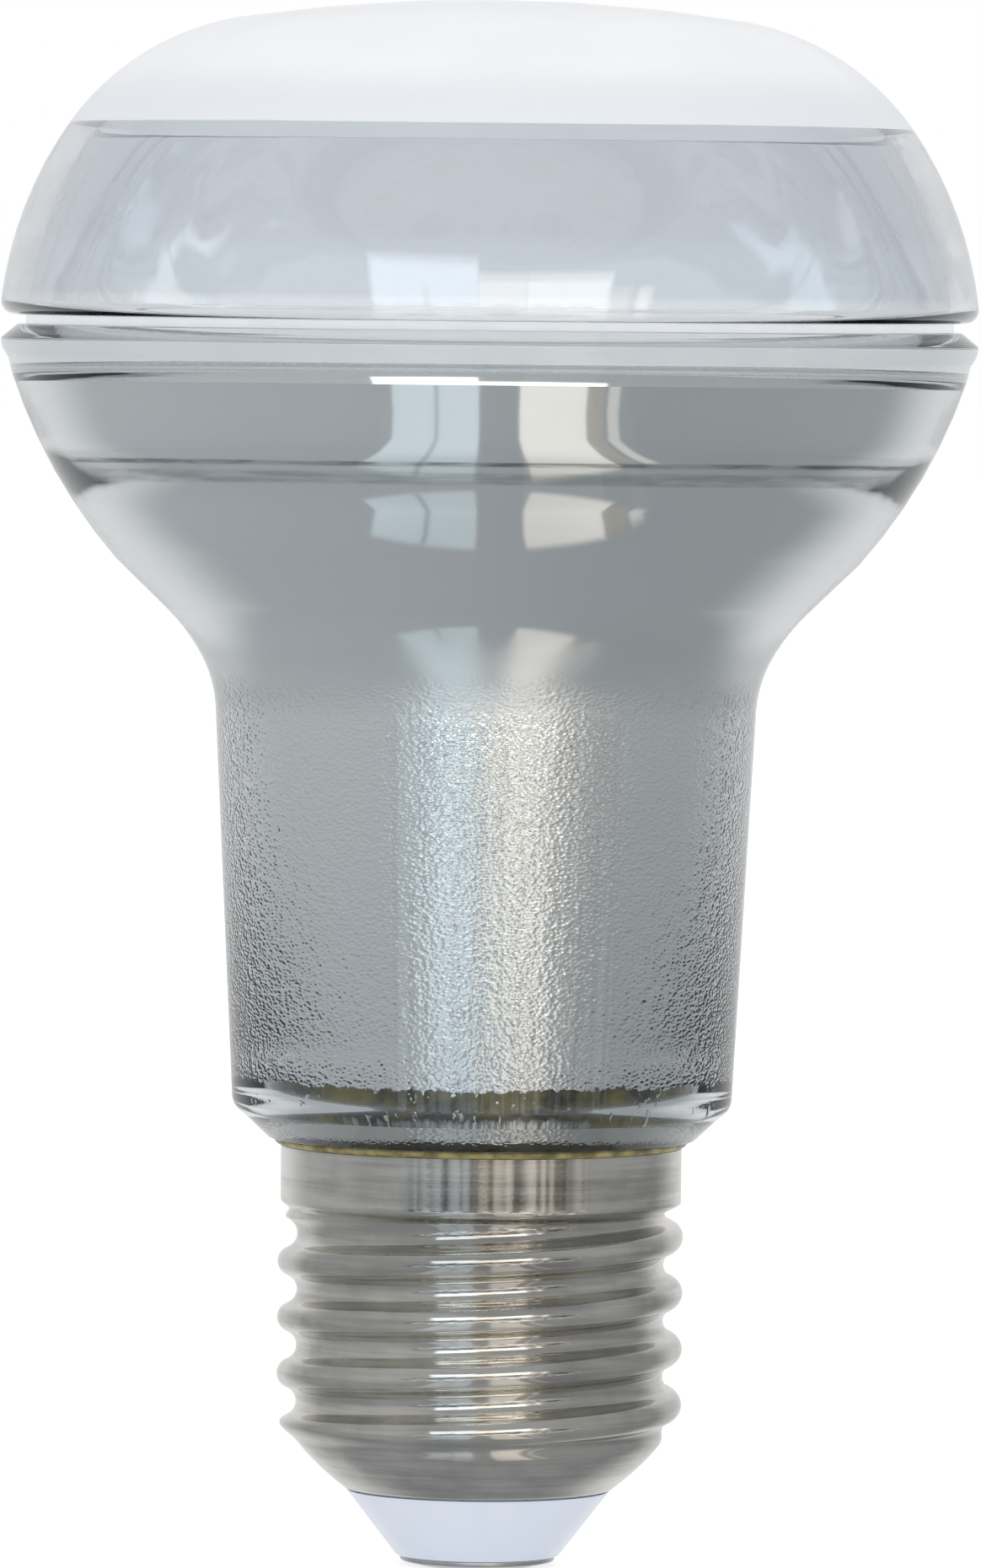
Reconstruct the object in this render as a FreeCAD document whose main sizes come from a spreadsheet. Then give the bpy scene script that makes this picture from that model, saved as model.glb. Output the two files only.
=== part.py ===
import FreeCAD, Part
import Sketcher
import math
import os

# Reflector bulb with a glass body 63 mm across and an E27 screw cap, with light-emitting diodes inside.
# Millimetres. The axis is Z, the origin is the bottom of the centre contact, and the dome is at the top.
# X is to the right and -Y is the front.

os.makedirs("parts", exist_ok=True)
doc = FreeCAD.newDocument("ReflectorBulb")

# Driving dimensions

SIZES = {
    # front cover, a moulded dome of clear plastic
    "overall_height": 101.0,
    "crown_radius": 16.3,
    "crown_rise": 1.25,
    "shoulder_radius": 27.1,
    "cover_side_height": 11.6,
    "shoulder_bend": 16.8,
    "cover_radius": 31.5,
    "cover_side_bend": 25.0,
    "cover_wall": 1.7,
    "cover_bead": 0.9,
    "cover_spigot_wall": 1.2,
    "cover_spigot_depth": 1.5,
    # joint between the cover and the glass
    "joint_gap": 0.6,
    "joint_recess": 1.1,
    # glass body, pressed and mirrored inside
    "lip_reach": 0.75,
    "lip_drop": 0.9,
    "lip_thickness": 2.1,
    "lip_step": 0.55,
    "bowl_depth": 15.0,
    "bowl_bend": 34.5,
    "bowl_foot_reach": 3.9,
    "bowl_foot_rise": 3.8,
    "flare_reach": 2.55,
    "flare_rise": 3.9,
    "neck_bend": 5.0,
    "neck_length": 26.9,
    "neck_draft": 1.4,
    "neck_low_radius": 16.15,
    "neck_foot_step": 0.7,
    "neck_foot_rise": 1.1,
    "neck_round": 1.3,
    "taper_reach": 1.65,
    "taper_rise": 1.3,
    "glass_wall": 1.65,
    "mouth_wall": 2.4,
    "ledge_width": 1.3,
    "ledge_rise": 5.8,
    "spigot_radius": 12.2,
    "spigot_depth": 3.0,
    "spigot_wall": 1.3,
    # screw cap, rolled from thin sheet
    "cap_height": 26.8,
    "skirt_radius": 12.95,
    "skirt_depth": 3.2,
    "sheet": 0.3,
    "thread_radius": 13.1,
    "thread_depth": 1.25,
    "thread_pitch": 3.629,
    "thread_crest_height": 10.47,
    "cone_height": 9.4,
    "crimp_radius": 8.62,
    "crimp_height": 4.95,
    "run_out": 1.6,
    # cement between the cap and the glass
    "cement_bead": 0.55,
    # insulator and centre contact
    "contact_radius": 5.0,
    "contact_flat_radius": 3.8,
    "contact_thickness": 0.62,
    "contact_round": 0.3,
    "contact_shank_radius": 1.2,
    "contact_bore_radius": 0.45,
    "insulator_foot_radius": 5.25,
    "insulator_top": 6.9,
    "insulator_flange": 0.8,
    "insulator_well_radius": 5.6,
    "insulator_floor": 1.6,
    # insulating sleeve around the driver
    "sleeve_wall": 1.0,
    "sleeve_foot": 9.6,
    "sleeve_low_radius": 10.4,
    "sleeve_step_rise": 0.5,
    "sleeve_overlap": 3.5,
    "rail_length": 14.0,
    "rail_depth": 1.5,
    "rail_thickness": 1.0,
    "silicone_height": 2.6,
    # heat spreader, a drawn aluminium cup
    "thermal_glue_wall": 0.5,
    "spreader_wall": 1.0,
    "spreader_rise": 3.6,
    "spreader_height": 12.8,
    "spreader_round": 1.6,
    "thermal_glue_height": 6.0,
    "thermal_glue_inset": 1.0,
    "wire_hole_radius": 2.6,
    # diode board
    "pad_thickness": 0.2,
    "pad_inset": 0.8,
    "led_board_inset": 1.3,
    "led_board_thickness": 1.0,
    "led_ring_inset": 3.4,
    "led_length": 3.5,
    "led_width": 2.8,
    "led_height": 0.75,
    "led_window_radius": 1.05,
    "led_window_depth": 0.12,
    "screw_spread": 5.2,
    "screw_radius": 1.0,
    "screw_head_radius": 1.9,
    "screw_head_height": 1.3,
    "screw_length": 5.0,
    "screw_slot": 0.5,
    "screw_slot_length": 2.3,
    # driver board and what is soldered to it
    "board_thickness": 1.2,
    "board_foot": 12.0,
    "board_tongue_width": 17.6,
    "board_width": 24.0,
    "board_step": 32.0,
    "board_overlap": 7.0,
    "lead_radius": 0.3,
    "lead_stub": 1.2,
    "input_can_radius": 4.0,
    "input_can_length": 14.0,
    "input_can_side": 5.6,
    "input_can_foot": 36.0,
    "output_can_radius": 3.15,
    "output_can_length": 9.0,
    "output_can_side": 6.6,
    "output_can_drop": 11.0,
    "choke_radius": 4.0,
    "choke_height": 6.6,
    "choke_flange": 1.0,
    "choke_waist_radius": 2.2,
    "winding_inset": 0.3,
    "choke_side": 5.6,
    "choke_level": 37.5,
    "film_length": 9.0,
    "film_width": 3.8,
    "film_height": 7.5,
    "film_side": 5.4,
    "film_level": 36.0,
    "bridge_length": 4.7,
    "bridge_width": 3.9,
    "bridge_height": 2.4,
    "bridge_level": 24.0,
    "chip_length": 4.9,
    "chip_width": 3.9,
    "chip_height": 1.5,
    "chip_drop": 4.0,
    "diode_length": 4.3,
    "diode_width": 2.6,
    "diode_height": 2.2,
    "diode_drop": 10.5,
    "fuse_radius": 1.6,
    "fuse_length": 8.0,
    "fuse_level": 22.0,
    "pin_radius": 0.4,
    "pin_spread": 1.3,
    "pin_tail": 3.6,
    "bush_flange_width": 0.8,
    "bush_flange_height": 1.0,
    "wire_radius": 0.35,
    "wire_bend": 1.0,
    "wire_tail": 2.4,
    "shell_wire_side": 6.0,
    "shell_wire_drop": 1.05,
    "shell_wire_end": 14.0,
    "contact_wire_drop": 2.0,
    "fit_clearance": 0.1,
}

sheet = doc.addObject("Spreadsheet::Sheet", "Sizes")
for row, (alias, value) in enumerate(SIZES.items(), start=1):
    sheet.set(f"A{row}", alias)
    sheet.set(f"B{row}", str(value))
    sheet.setAlias(f"B{row}", alias)
doc.recompute()


class Size:
    """A length with its number and the sheet expression that it is bound to."""

    def __init__(self, number, text):
        self.number = number
        self.text = text

    def combined(self, other, sign, number):
        text = other.text if isinstance(other, Size) else repr(other)
        return Size(number, f"({self.text} {sign} {text})")

    def __add__(self, other):
        return self.combined(other, "+", self.number + number_of(other))

    def __sub__(self, other):
        return self.combined(other, "-", self.number - number_of(other))

    def __mul__(self, other):
        return self.combined(other, "*", self.number * number_of(other))

    def __truediv__(self, other):
        return self.combined(other, "/", self.number / number_of(other))

    def __neg__(self):
        return Size(-self.number, f"(0 - {self.text})")


def number_of(value):
    return value.number if isinstance(value, Size) else value


class Sizes:
    """Every alias of the sheet as an attribute."""


size = Sizes()
for alias in SIZES:
    setattr(size, alias, Size(float(sheet.get(alias)), f"Sizes.{alias}"))

ZERO = Size(0.0, "0")


def sloped(high_radius, high, low_radius, low, wall):
    """How far a wall lies in and down, at right angles to the slope from its high to its low end."""
    fall = high - low
    spread = low_radius - high_radius
    length = root(fall * fall + spread * spread)
    return wall * fall / length, wall * spread / length


def root(value):
    return Size(math.sqrt(value.number), f"sqrt({value.text})")


# Tools for sketches and primitives

def bind(thing, prop, value):
    """Ties a property to the sheet, or sets it where it is a plain number."""
    thing.setExpression(prop, value.text if isinstance(value, Size) else repr(value))


def origin_plane(body, role):
    return next(plane for plane in body.Origin.OriginFeatures if plane.Role == role)


def bent(start, end, bend):
    """The arc between two points. A positive bend swells to the left of the way from start to end."""
    chord = end.sub(start)
    left = FreeCAD.Vector(-chord.y, chord.x, 0).normalize()
    rise = math.sqrt(max(bend * bend - chord.Length * chord.Length / 4, 0.0))
    centre = (start + end) / 2 - left * math.copysign(rise, bend)
    first, last = (end, start) if bend > 0 else (start, end)
    angles = [math.atan2(point.y - centre.y, point.x - centre.x) for point in (first, last)]
    if angles[1] < angles[0]:
        angles[1] += 2 * math.pi
    return Part.ArcOfCircle(Part.Circle(centre, FreeCAD.Vector(0, 0, 1), abs(bend)), *angles)


def outline(body, name, corners, role="XZ_Plane"):
    """A closed sketch. Each corner is (across, up), with the bend of the arc that follows it, if any."""
    sketch = body.newObject("Sketcher::SketchObject", name)
    sketch.AttachmentSupport = (origin_plane(body, role), [""])
    sketch.MapMode = "FlatFace"
    points = [FreeCAD.Vector(number_of(corner[0]), number_of(corner[1]), 0) for corner in corners]
    count = len(corners)
    ends = []
    for index, corner in enumerate(corners):
        start, end = points[index], points[(index + 1) % count]
        bend = number_of(corner[2]) if len(corner) == 3 else 0.0
        sketch.addGeometry(bent(start, end, bend) if bend else Part.LineSegment(start, end))
        ends.append((2, 1) if bend > 0 else (1, 2))
    for index in range(count):
        following = (index + 1) % count
        sketch.addConstraint(Sketcher.Constraint("Coincident", index, ends[index][1],
                                                 following, ends[following][0]))
    for index, corner in enumerate(corners):
        hold(sketch, "DistanceX", index, ends[index][0], corner[0], -2)
        hold(sketch, "DistanceY", index, ends[index][0], corner[1], -1)
        if len(corner) == 3:
            bend = corner[2] if number_of(corner[2]) > 0 else -corner[2]
            number = sketch.addConstraint(Sketcher.Constraint("Radius", index, bend.number))
            bind(sketch, f"Constraints[{number}]", bend)
    return sketch


def hold(sketch, kind, geometry, position, value, axis):
    """Fixes one coordinate of a sketch point, on the axis itself where it is nought."""
    if number_of(value) == 0:
        sketch.addConstraint(Sketcher.Constraint("PointOnObject", geometry, position, axis))
        return
    number = sketch.addConstraint(Sketcher.Constraint(kind, geometry, position, number_of(value)))
    bind(sketch, f"Constraints[{number}]", value)


def turned(name, corners):
    """A body made by turning an outline about the axis."""
    body = doc.addObject("PartDesign::Body", name)
    sketch = outline(body, name + "_outline", corners)
    turn = body.newObject("PartDesign::Revolution", name + "_turn")
    turn.Profile = sketch
    turn.ReferenceAxis = (sketch, ["V_Axis"])
    turn.Angle = 360
    return body


def place(thing, x, y, z, rotation=FreeCAD.Rotation()):
    thing.Placement = FreeCAD.Placement(FreeCAD.Vector(), rotation)
    bind(thing, "Placement.Base.x", x)
    bind(thing, "Placement.Base.y", y)
    bind(thing, "Placement.Base.z", z)
    return thing


def block(name, length, width, height, x, y, z):
    """A box with its lowest corner at x, y, z."""
    thing = doc.addObject("Part::Box", name)
    bind(thing, "Length", length)
    bind(thing, "Width", width)
    bind(thing, "Height", height)
    return place(thing, x, y, z)


UP = FreeCAD.Rotation()
ACROSS = FreeCAD.Rotation(FreeCAD.Vector(0, 1, 0), 90)
FORWARD = FreeCAD.Rotation(FreeCAD.Vector(1, 0, 0), 90)


def rod(name, radius, length, x, y, z, direction=UP):
    """A cylinder that starts at x, y, z. FORWARD points to -Y and ACROSS to +X."""
    thing = doc.addObject("Part::Cylinder", name)
    bind(thing, "Radius", radius)
    bind(thing, "Height", length)
    return place(thing, x, y, z, direction)


def joined(name, pieces):
    thing = doc.addObject("Part::MultiFuse", name)
    thing.Shapes = pieces
    return thing


def carved(name, base, tools):
    """The base less its tools."""
    thing = doc.addObject("Part::Cut", name)
    thing.Base = base
    thing.Tool = tools[0] if len(tools) == 1 else joined(name + "_tools", tools)
    return thing


# Levels and radii of the glass body, each from the one below it

skirt_height = size.cap_height - size.skirt_depth
cement_top = size.cap_height + size.cement_bead * 2
taper_start_height = cement_top + size.taper_rise
neck_low_height = taper_start_height + size.neck_foot_rise
neck_top_height = neck_low_height + size.neck_length
flare_height = neck_top_height + size.flare_rise
bowl_low_height = flare_height + size.bowl_foot_rise
rim_height = bowl_low_height + size.bowl_depth
neck_top_radius = size.neck_low_radius + size.neck_draft
flare_radius = neck_top_radius + size.flare_reach
bowl_low_radius = flare_radius + size.bowl_foot_reach
bowl_top_radius = size.cover_radius - size.lip_reach
taper_start_radius = size.neck_low_radius - size.neck_foot_step
taper_end_radius = size.spigot_radius + size.taper_reach

# Front cover: a dome with a nearly flat crown, a rounded foot and a spigot that enters the glass

cover_foot = rim_height + size.joint_gap
cover_widest = cover_foot + size.cover_bead
shoulder_height = cover_widest + size.cover_side_height
spigot_out = size.cover_radius - size.joint_recess - size.mouth_wall
spigot_in = spigot_out - size.cover_spigot_wall
foot_in = size.cover_radius - size.cover_wall
crown_edge = size.overall_height - size.crown_rise
bead_set_in = size.cover_bead * (1 - math.sqrt(0.5))
crown_span = size.crown_radius * size.crown_radius + size.crown_rise * size.crown_rise
crown_bend = crown_span / (size.crown_rise * 2)
crown_lean = size.cover_wall / crown_bend
crown_in = size.crown_radius - size.crown_radius * crown_lean
shoulder_lean = sloped(size.shoulder_radius, shoulder_height, size.cover_radius, cover_widest,
                       size.cover_wall)
front_cover = turned("front_cover", [
    (ZERO, size.overall_height - size.cover_wall),
    (ZERO, size.overall_height, crown_bend),
    (size.crown_radius, crown_edge, size.shoulder_bend),
    (size.shoulder_radius, shoulder_height, size.cover_side_bend),
    (size.cover_radius, cover_widest),
    (size.cover_radius - bead_set_in, cover_foot + bead_set_in),
    (size.cover_radius - size.cover_bead, cover_foot),
    (spigot_out, cover_foot),
    (spigot_out, cover_foot - size.cover_spigot_depth),
    (spigot_in, cover_foot - size.cover_spigot_depth),
    (spigot_in, cover_foot),
    (foot_in - size.cover_bead, cover_foot + size.cover_bead),
    (foot_in, cover_widest + size.cover_bead),
    (size.shoulder_radius - shoulder_lean[0], shoulder_height - shoulder_lean[1],
     -(size.shoulder_bend - size.cover_wall)),
    (crown_in, crown_edge - (crown_bend - size.crown_rise) * crown_lean),
])

# Adhesive in the joint, set back behind the rims as a narrow groove

cover_adhesive = turned("cover_adhesive", [
    (spigot_out + size.fit_clearance, rim_height),
    (size.cover_radius - size.joint_recess, rim_height),
    (size.cover_radius - size.joint_recess, cover_foot),
    (spigot_out + size.fit_clearance, cover_foot),
])

# Glass body: lip, bowl, neck and the spigot that the cap is cemented to

lip_widest = rim_height - size.lip_drop
lip_foot = rim_height - size.lip_thickness
mouth_in = spigot_out + size.fit_clearance
neck_foot_in = neck_low_height + size.neck_round
neck_in_spread = size.neck_draft / (neck_top_height - neck_foot_in)


def neck_inside(height):
    """Radius of the mirrored wall of the neck at a height."""
    return size.neck_low_radius - size.glass_wall + (height - neck_foot_in) * neck_in_spread


bowl_lean = sloped(bowl_low_radius, bowl_low_height, flare_radius, flare_height,
                   size.glass_wall)
upper_in = bowl_top_radius - size.glass_wall
ledge_out = (bowl_low_radius - bowl_lean[0] + upper_in + size.ledge_width) / 2
ledge_height = bowl_low_height + size.ledge_rise
spigot_bore = size.spigot_radius - size.spigot_wall
inner_taper_foot = taper_start_height - size.neck_round
reflector_glass = turned("reflector_glass", [
    (mouth_in, rim_height),
    (size.cover_radius - size.joint_recess, rim_height),
    (size.cover_radius, lip_widest),
    (bowl_top_radius + size.lip_step / 2, lip_foot),
    (bowl_top_radius, lip_foot - size.lip_step * 2, size.bowl_bend),
    (bowl_low_radius, bowl_low_height),
    (flare_radius, flare_height, -size.neck_bend),
    (neck_top_radius, neck_top_height),
    (size.neck_low_radius, neck_low_height),
    (taper_start_radius, taper_start_height),
    (taper_end_radius, cement_top),
    (size.spigot_radius, cement_top),
    (size.spigot_radius, size.cap_height - size.spigot_depth),
    (spigot_bore, size.cap_height - size.spigot_depth),
    (spigot_bore, inner_taper_foot),
    (neck_inside(neck_foot_in), neck_foot_in),
    (neck_inside(neck_top_height), neck_top_height, size.neck_bend + size.glass_wall),
    (flare_radius - bowl_lean[0], flare_height - bowl_lean[1]),
    (bowl_low_radius - bowl_lean[0], bowl_low_height - bowl_lean[1],
     -(size.bowl_bend - size.glass_wall)),
    (ledge_out - size.ledge_width, ledge_height - size.ledge_width),
    (ledge_out, ledge_height, -size.bowl_bend),
    (upper_in, lip_foot - size.lip_step),
    (mouth_in, lip_foot),
])

# Screw cap: a thin rolled sheet, so the thread stands out of its outside and into its inside

AROUND = 48
ROWS_PER_PITCH = 9
CONE_POWER = 1.5
SEAM_TOLERANCE = 1e-6


def ease(value):
    """Nought to one, flat at both ends."""
    held = min(max(value, 0.0), 1.0)
    return held * held * (3 - 2 * held)


def knuckle(turns, pitch, depth):
    """Height of a knuckle thread over its middle, made of equal arcs, at so many turns from a crest."""
    quarter = pitch / 4
    half = depth / 2
    arc = (quarter * quarter + half * half) / (2 * half)
    along = abs((turns + 0.5) % 1.0 - 0.5) * pitch
    if along <= quarter:
        return math.sqrt(arc * arc - along * along) - (arc - half)
    return (arc - half) - math.sqrt(arc * arc - (2 * quarter - along) ** 2)


def cap_radius(height, angle):
    """Outer radius of the cap: its cone at the foot, the thread, and the skirt at the top."""
    middle = size.thread_radius.number - size.thread_depth.number / 2
    foot = size.crimp_height.number
    rise = min((height - foot) / (size.cone_height.number - foot), 1.0)
    cone = middle - (middle - size.crimp_radius.number) * (1 - rise) ** CONE_POWER
    reach = size.run_out.number
    skirt = skirt_height.number
    waist = size.thread_depth.number / 2
    thread_in = ease((height - size.cone_height.number + reach) / reach)
    thread_out = ease((skirt - height) / reach)
    to_skirt = ease((height - skirt + reach / 2) / (reach / 2))
    pitch = size.thread_pitch.number
    turns = (height - size.thread_crest_height.number) / pitch - angle / (2 * math.pi)
    wave = knuckle(turns, pitch, size.thread_depth.number) * thread_in * thread_out
    neck_in = waist * (1 - thread_out) * (1 - to_skirt)
    return cone + wave - neck_in + (size.skirt_radius.number - middle) * to_skirt


def cap_skin(inset):
    """The sheet's surface at an inset from its outside, as a cubic surface closed around the axis."""
    low = size.crimp_height.number
    span = size.cap_height.number - low
    rows = int(math.ceil(ROWS_PER_PITCH * span / size.thread_pitch.number)) + 1
    around_gain = 3 / (2 + math.cos(2 * math.pi / AROUND))
    poles = []
    for step in range(AROUND):
        angle = 2 * math.pi * step / AROUND
        column = []
        for row in range(rows):
            height = low + span * row / (rows - 1)
            radius = (cap_radius(height, angle) - inset) * around_gain
            column.append(FreeCAD.Vector(radius * math.cos(angle), radius * math.sin(angle), height))
        poles.append(column)
    surface = Part.BSplineSurface()
    surface.buildFromPolesMultsKnots(
        poles,
        [1] * (AROUND + 1), [4] + [1] * (rows - 4) + [4],
        [float(knot) for knot in range(AROUND + 1)], [float(knot) for knot in range(rows - 2)],
        True, False, 3, 3)
    return surface.toShape()


def end_rings(skin):
    """The lowest and the highest closed edge of a skin, as wires."""
    closed = sorted((edge for edge in skin.Edges if edge.isClosed()), key=lambda edge: edge.CenterOfMass.z)
    return Part.Wire([closed[0]]), Part.Wire([closed[-1]])


def rolled_cap():
    outer = cap_skin(0.0)
    inner = cap_skin(size.sheet.number)
    rims = [Part.makeFace(list(pair), "Part::FaceMakerBullseye")
            for pair in zip(end_rings(outer), end_rings(inner))]
    shell = Part.Shell([outer, inner] + rims)
    shell.sewShape()
    solid = Part.Solid(shell)
    solid.fix(SEAM_TOLERANCE, SEAM_TOLERANCE, SEAM_TOLERANCE * 10)
    return solid


cap_shell = doc.addObject("Part::Feature", "cap_shell")
cap_shell.Shape = rolled_cap()

# Cement ring between the cap and the glass spigot, with a thin bead above the cap's edge

cap_cement = turned("cap_cement", [
    (size.spigot_radius, skirt_height + size.fit_clearance),
    (size.skirt_radius - size.sheet - size.fit_clearance, skirt_height + size.fit_clearance),
    (size.skirt_radius - size.sheet - size.fit_clearance, size.cap_height),
    (size.skirt_radius, size.cap_height),
    (size.skirt_radius + size.cement_bead, size.cap_height + size.cement_bead),
    (size.skirt_radius + size.cement_bead, cement_top),
    (size.spigot_radius, cement_top),
])

# Insulator: a white cone under the cap, its flange held inside the rolled foot

insulator_seat = size.crimp_radius - size.sheet - size.fit_clearance
insulator_edge = size.crimp_height - size.fit_clearance
cap_insulator = turned("cap_insulator", [
    (size.contact_shank_radius + size.fit_clearance, size.contact_thickness),
    (size.insulator_foot_radius, size.contact_thickness),
    (size.crimp_radius - size.fit_clearance, insulator_edge),
    (insulator_seat, insulator_edge),
    (insulator_seat, size.crimp_height + size.fit_clearance),
    (insulator_seat + size.insulator_flange, size.insulator_top - size.insulator_flange),
    (insulator_seat + size.insulator_flange, size.insulator_top),
    (size.insulator_well_radius, size.insulator_top),
    (size.insulator_well_radius - size.insulator_flange, size.contact_thickness + size.insulator_floor),
    (size.contact_shank_radius + size.fit_clearance, size.contact_thickness + size.insulator_floor),
])

# Centre contact: a disc with a hollow shank that takes the lead wire

shank_top = size.contact_thickness + size.insulator_floor + size.contact_thickness
centre_contact = turned("centre_contact", [
    (ZERO, ZERO),
    (size.contact_flat_radius, ZERO),
    (size.contact_radius, size.contact_round),
    (size.contact_radius, size.contact_thickness),
    (size.contact_shank_radius, size.contact_thickness),
    (size.contact_shank_radius, shank_top),
    (size.contact_bore_radius, shank_top),
    (size.contact_bore_radius, size.contact_thickness),
    (ZERO, size.contact_thickness),
])

# Insulating sleeve: narrow in the cap, wider in the neck, with rails for the driver board

sleeve_step_height = cement_top + size.sleeve_step_rise
spreader_top = neck_top_height + size.spreader_rise
spreader_foot = spreader_top - size.spreader_height
board_top = spreader_foot + size.board_overlap
spreader_radius = neck_inside(spreader_foot) - size.thermal_glue_wall
sleeve_high_radius = spreader_radius - size.spreader_wall - size.fit_clearance * 2
sleeve_top = spreader_foot + size.sleeve_overlap
flare_top = sleeve_step_height + sleeve_high_radius - size.sleeve_low_radius
mitre = size.sleeve_wall * math.tan(math.pi / 8)
sleeve_tube = turned("sleeve_tube", [
    (size.sleeve_low_radius - size.sleeve_wall, size.sleeve_foot),
    (size.sleeve_low_radius, size.sleeve_foot),
    (size.sleeve_low_radius, sleeve_step_height),
    (sleeve_high_radius, flare_top),
    (sleeve_high_radius, sleeve_top),
    (sleeve_high_radius - size.sleeve_wall, sleeve_top),
    (sleeve_high_radius - size.sleeve_wall, flare_top + mitre),
    (size.sleeve_low_radius - size.sleeve_wall, sleeve_step_height + mitre),
])
rail_gap = size.board_thickness / 2 + size.fit_clearance
rail_out = sleeve_high_radius - size.sleeve_wall / 2
rails = []
for side in (-1, 1):
    for face in (-1, 1):
        rail_x = rail_out - size.rail_depth if side > 0 else -rail_out
        rail_y = rail_gap if face > 0 else -(rail_gap + size.rail_thickness)
        rails.append(block(f"rail_{len(rails) + 1}", size.rail_depth, size.rail_thickness, size.rail_length,
                           rail_x, rail_y, flare_top + size.sleeve_wall))
driver_sleeve = joined("driver_sleeve", [sleeve_tube] + rails)

# Silicone that holds the sleeve in the foot of the neck, seen through the bare glass above the cap

silicone_top = neck_foot_in + size.silicone_height
silicone_share = (sleeve_step_height - inner_taper_foot) / (neck_foot_in - inner_taper_foot)
silicone_foot = spigot_bore + (neck_inside(neck_foot_in) - spigot_bore) * silicone_share
sleeve_silicone = turned("sleeve_silicone", [
    (size.sleeve_low_radius, sleeve_step_height),
    (silicone_foot, sleeve_step_height),
    (neck_inside(neck_foot_in), neck_foot_in),
    (neck_inside(silicone_top), silicone_top),
    (sleeve_high_radius, silicone_top),
    (sleeve_high_radius, flare_top),
])

# Heat spreader: a drawn aluminium cup, open below, glued into the top of the neck

spreader_in = spreader_radius - size.spreader_wall
spreader_under = spreader_top - size.spreader_wall
spreader_cup = turned("spreader_cup", [
    (size.wire_hole_radius, spreader_under),
    (size.wire_hole_radius, spreader_top),
    (spreader_radius - size.spreader_round, spreader_top, size.spreader_round),
    (spreader_radius, spreader_top - size.spreader_round),
    (spreader_radius, spreader_foot),
    (spreader_in, spreader_foot),
    (spreader_in, spreader_top - size.spreader_round, -(size.spreader_round - size.spreader_wall)),
    (spreader_radius - size.spreader_round, spreader_under),
])
screw_sides = [("left", -size.screw_spread), ("right", size.screw_spread)]
heat_spreader = carved("heat_spreader", spreader_cup, [
    rod(f"spreader_hole_{side}", size.screw_radius, size.spreader_wall * 3, x, ZERO,
        spreader_top - size.spreader_wall * 2)
    for side, x in screw_sides])

thermal_glue_foot = spreader_foot + size.thermal_glue_inset
thermal_glue_top = thermal_glue_foot + size.thermal_glue_height
spreader_glue = turned("spreader_glue", [
    (spreader_radius, thermal_glue_foot),
    (neck_inside(thermal_glue_foot), thermal_glue_foot),
    (neck_inside(thermal_glue_top), thermal_glue_top),
    (spreader_radius, thermal_glue_top),
])

# Thermal pad and diode board, screwed to the spreader

led_board_foot = spreader_top + size.pad_thickness
led_board_radius = spreader_radius - size.led_board_inset
led_ring_radius = led_board_radius - size.led_ring_inset
led_board_top = led_board_foot + size.led_board_thickness


def ring_disc(name, radius, thickness, foot):
    """A disc with the wire hole in the middle and two screw holes."""
    disc = rod(name + "_blank", radius, thickness, ZERO, ZERO, foot)
    holes = [rod(name + "_wire_hole", size.wire_hole_radius, thickness, ZERO, ZERO, foot)]
    for side, x in screw_sides:
        holes.append(rod(f"{name}_hole_{side}", size.screw_radius + size.fit_clearance, thickness,
                         x, ZERO, foot))
    return carved(name, disc, holes)


thermal_pad = ring_disc("thermal_pad", led_board_radius - size.pad_inset, size.pad_thickness,
                        spreader_top)
led_board = ring_disc("led_board", led_board_radius, size.led_board_thickness, led_board_foot)

LED_COUNT = 12
leds = []
for number in range(1, LED_COUNT + 1):
    angle = 2 * math.pi * (number - 0.5) / LED_COUNT
    turn = FreeCAD.Rotation(FreeCAD.Vector(0, 0, 1), math.degrees(angle))
    across = led_ring_radius - size.led_width / 2
    x = across * math.cos(angle) + size.led_length / 2 * math.sin(angle)
    y = across * math.sin(angle) - size.led_length / 2 * math.cos(angle)
    package = block(f"led_{number:02d}_package", size.led_width, size.led_length, size.led_height,
                    x, y, led_board_top)
    place(package, x, y, led_board_top, turn)
    window = rod(f"led_{number:02d}_window", size.led_window_radius, size.led_window_depth * 2,
                 led_ring_radius * math.cos(angle), led_ring_radius * math.sin(angle),
                 led_board_top + size.led_height - size.led_window_depth)
    leds.append(carved(f"led_{number:02d}", package, [window]))

screws = []
for side, x in screw_sides:
    shank = rod(f"board_screw_{side}_shank", size.screw_radius, size.screw_length, x, ZERO,
                led_board_top - size.screw_length)
    head = rod(f"board_screw_{side}_head", size.screw_head_radius, size.screw_head_height, x, ZERO,
               led_board_top)
    slots = [
        block(f"board_screw_{side}_slot_x", size.screw_slot_length, size.screw_slot, size.screw_slot * 2,
              x - size.screw_slot_length / 2, -(size.screw_slot / 2),
              led_board_top + size.screw_head_height - size.screw_slot),
        block(f"board_screw_{side}_slot_y", size.screw_slot, size.screw_slot_length, size.screw_slot * 2,
              x - size.screw_slot / 2, -(size.screw_slot_length / 2),
              led_board_top + size.screw_head_height - size.screw_slot),
    ]
    whole = joined(f"board_screw_{side}_blank", [shank, head])
    screws.append(carved(f"board_screw_{side}", whole, slots))

# Driver board: a narrow tongue in the cap and a wide part in the neck, held by the sleeve's rails

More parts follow.
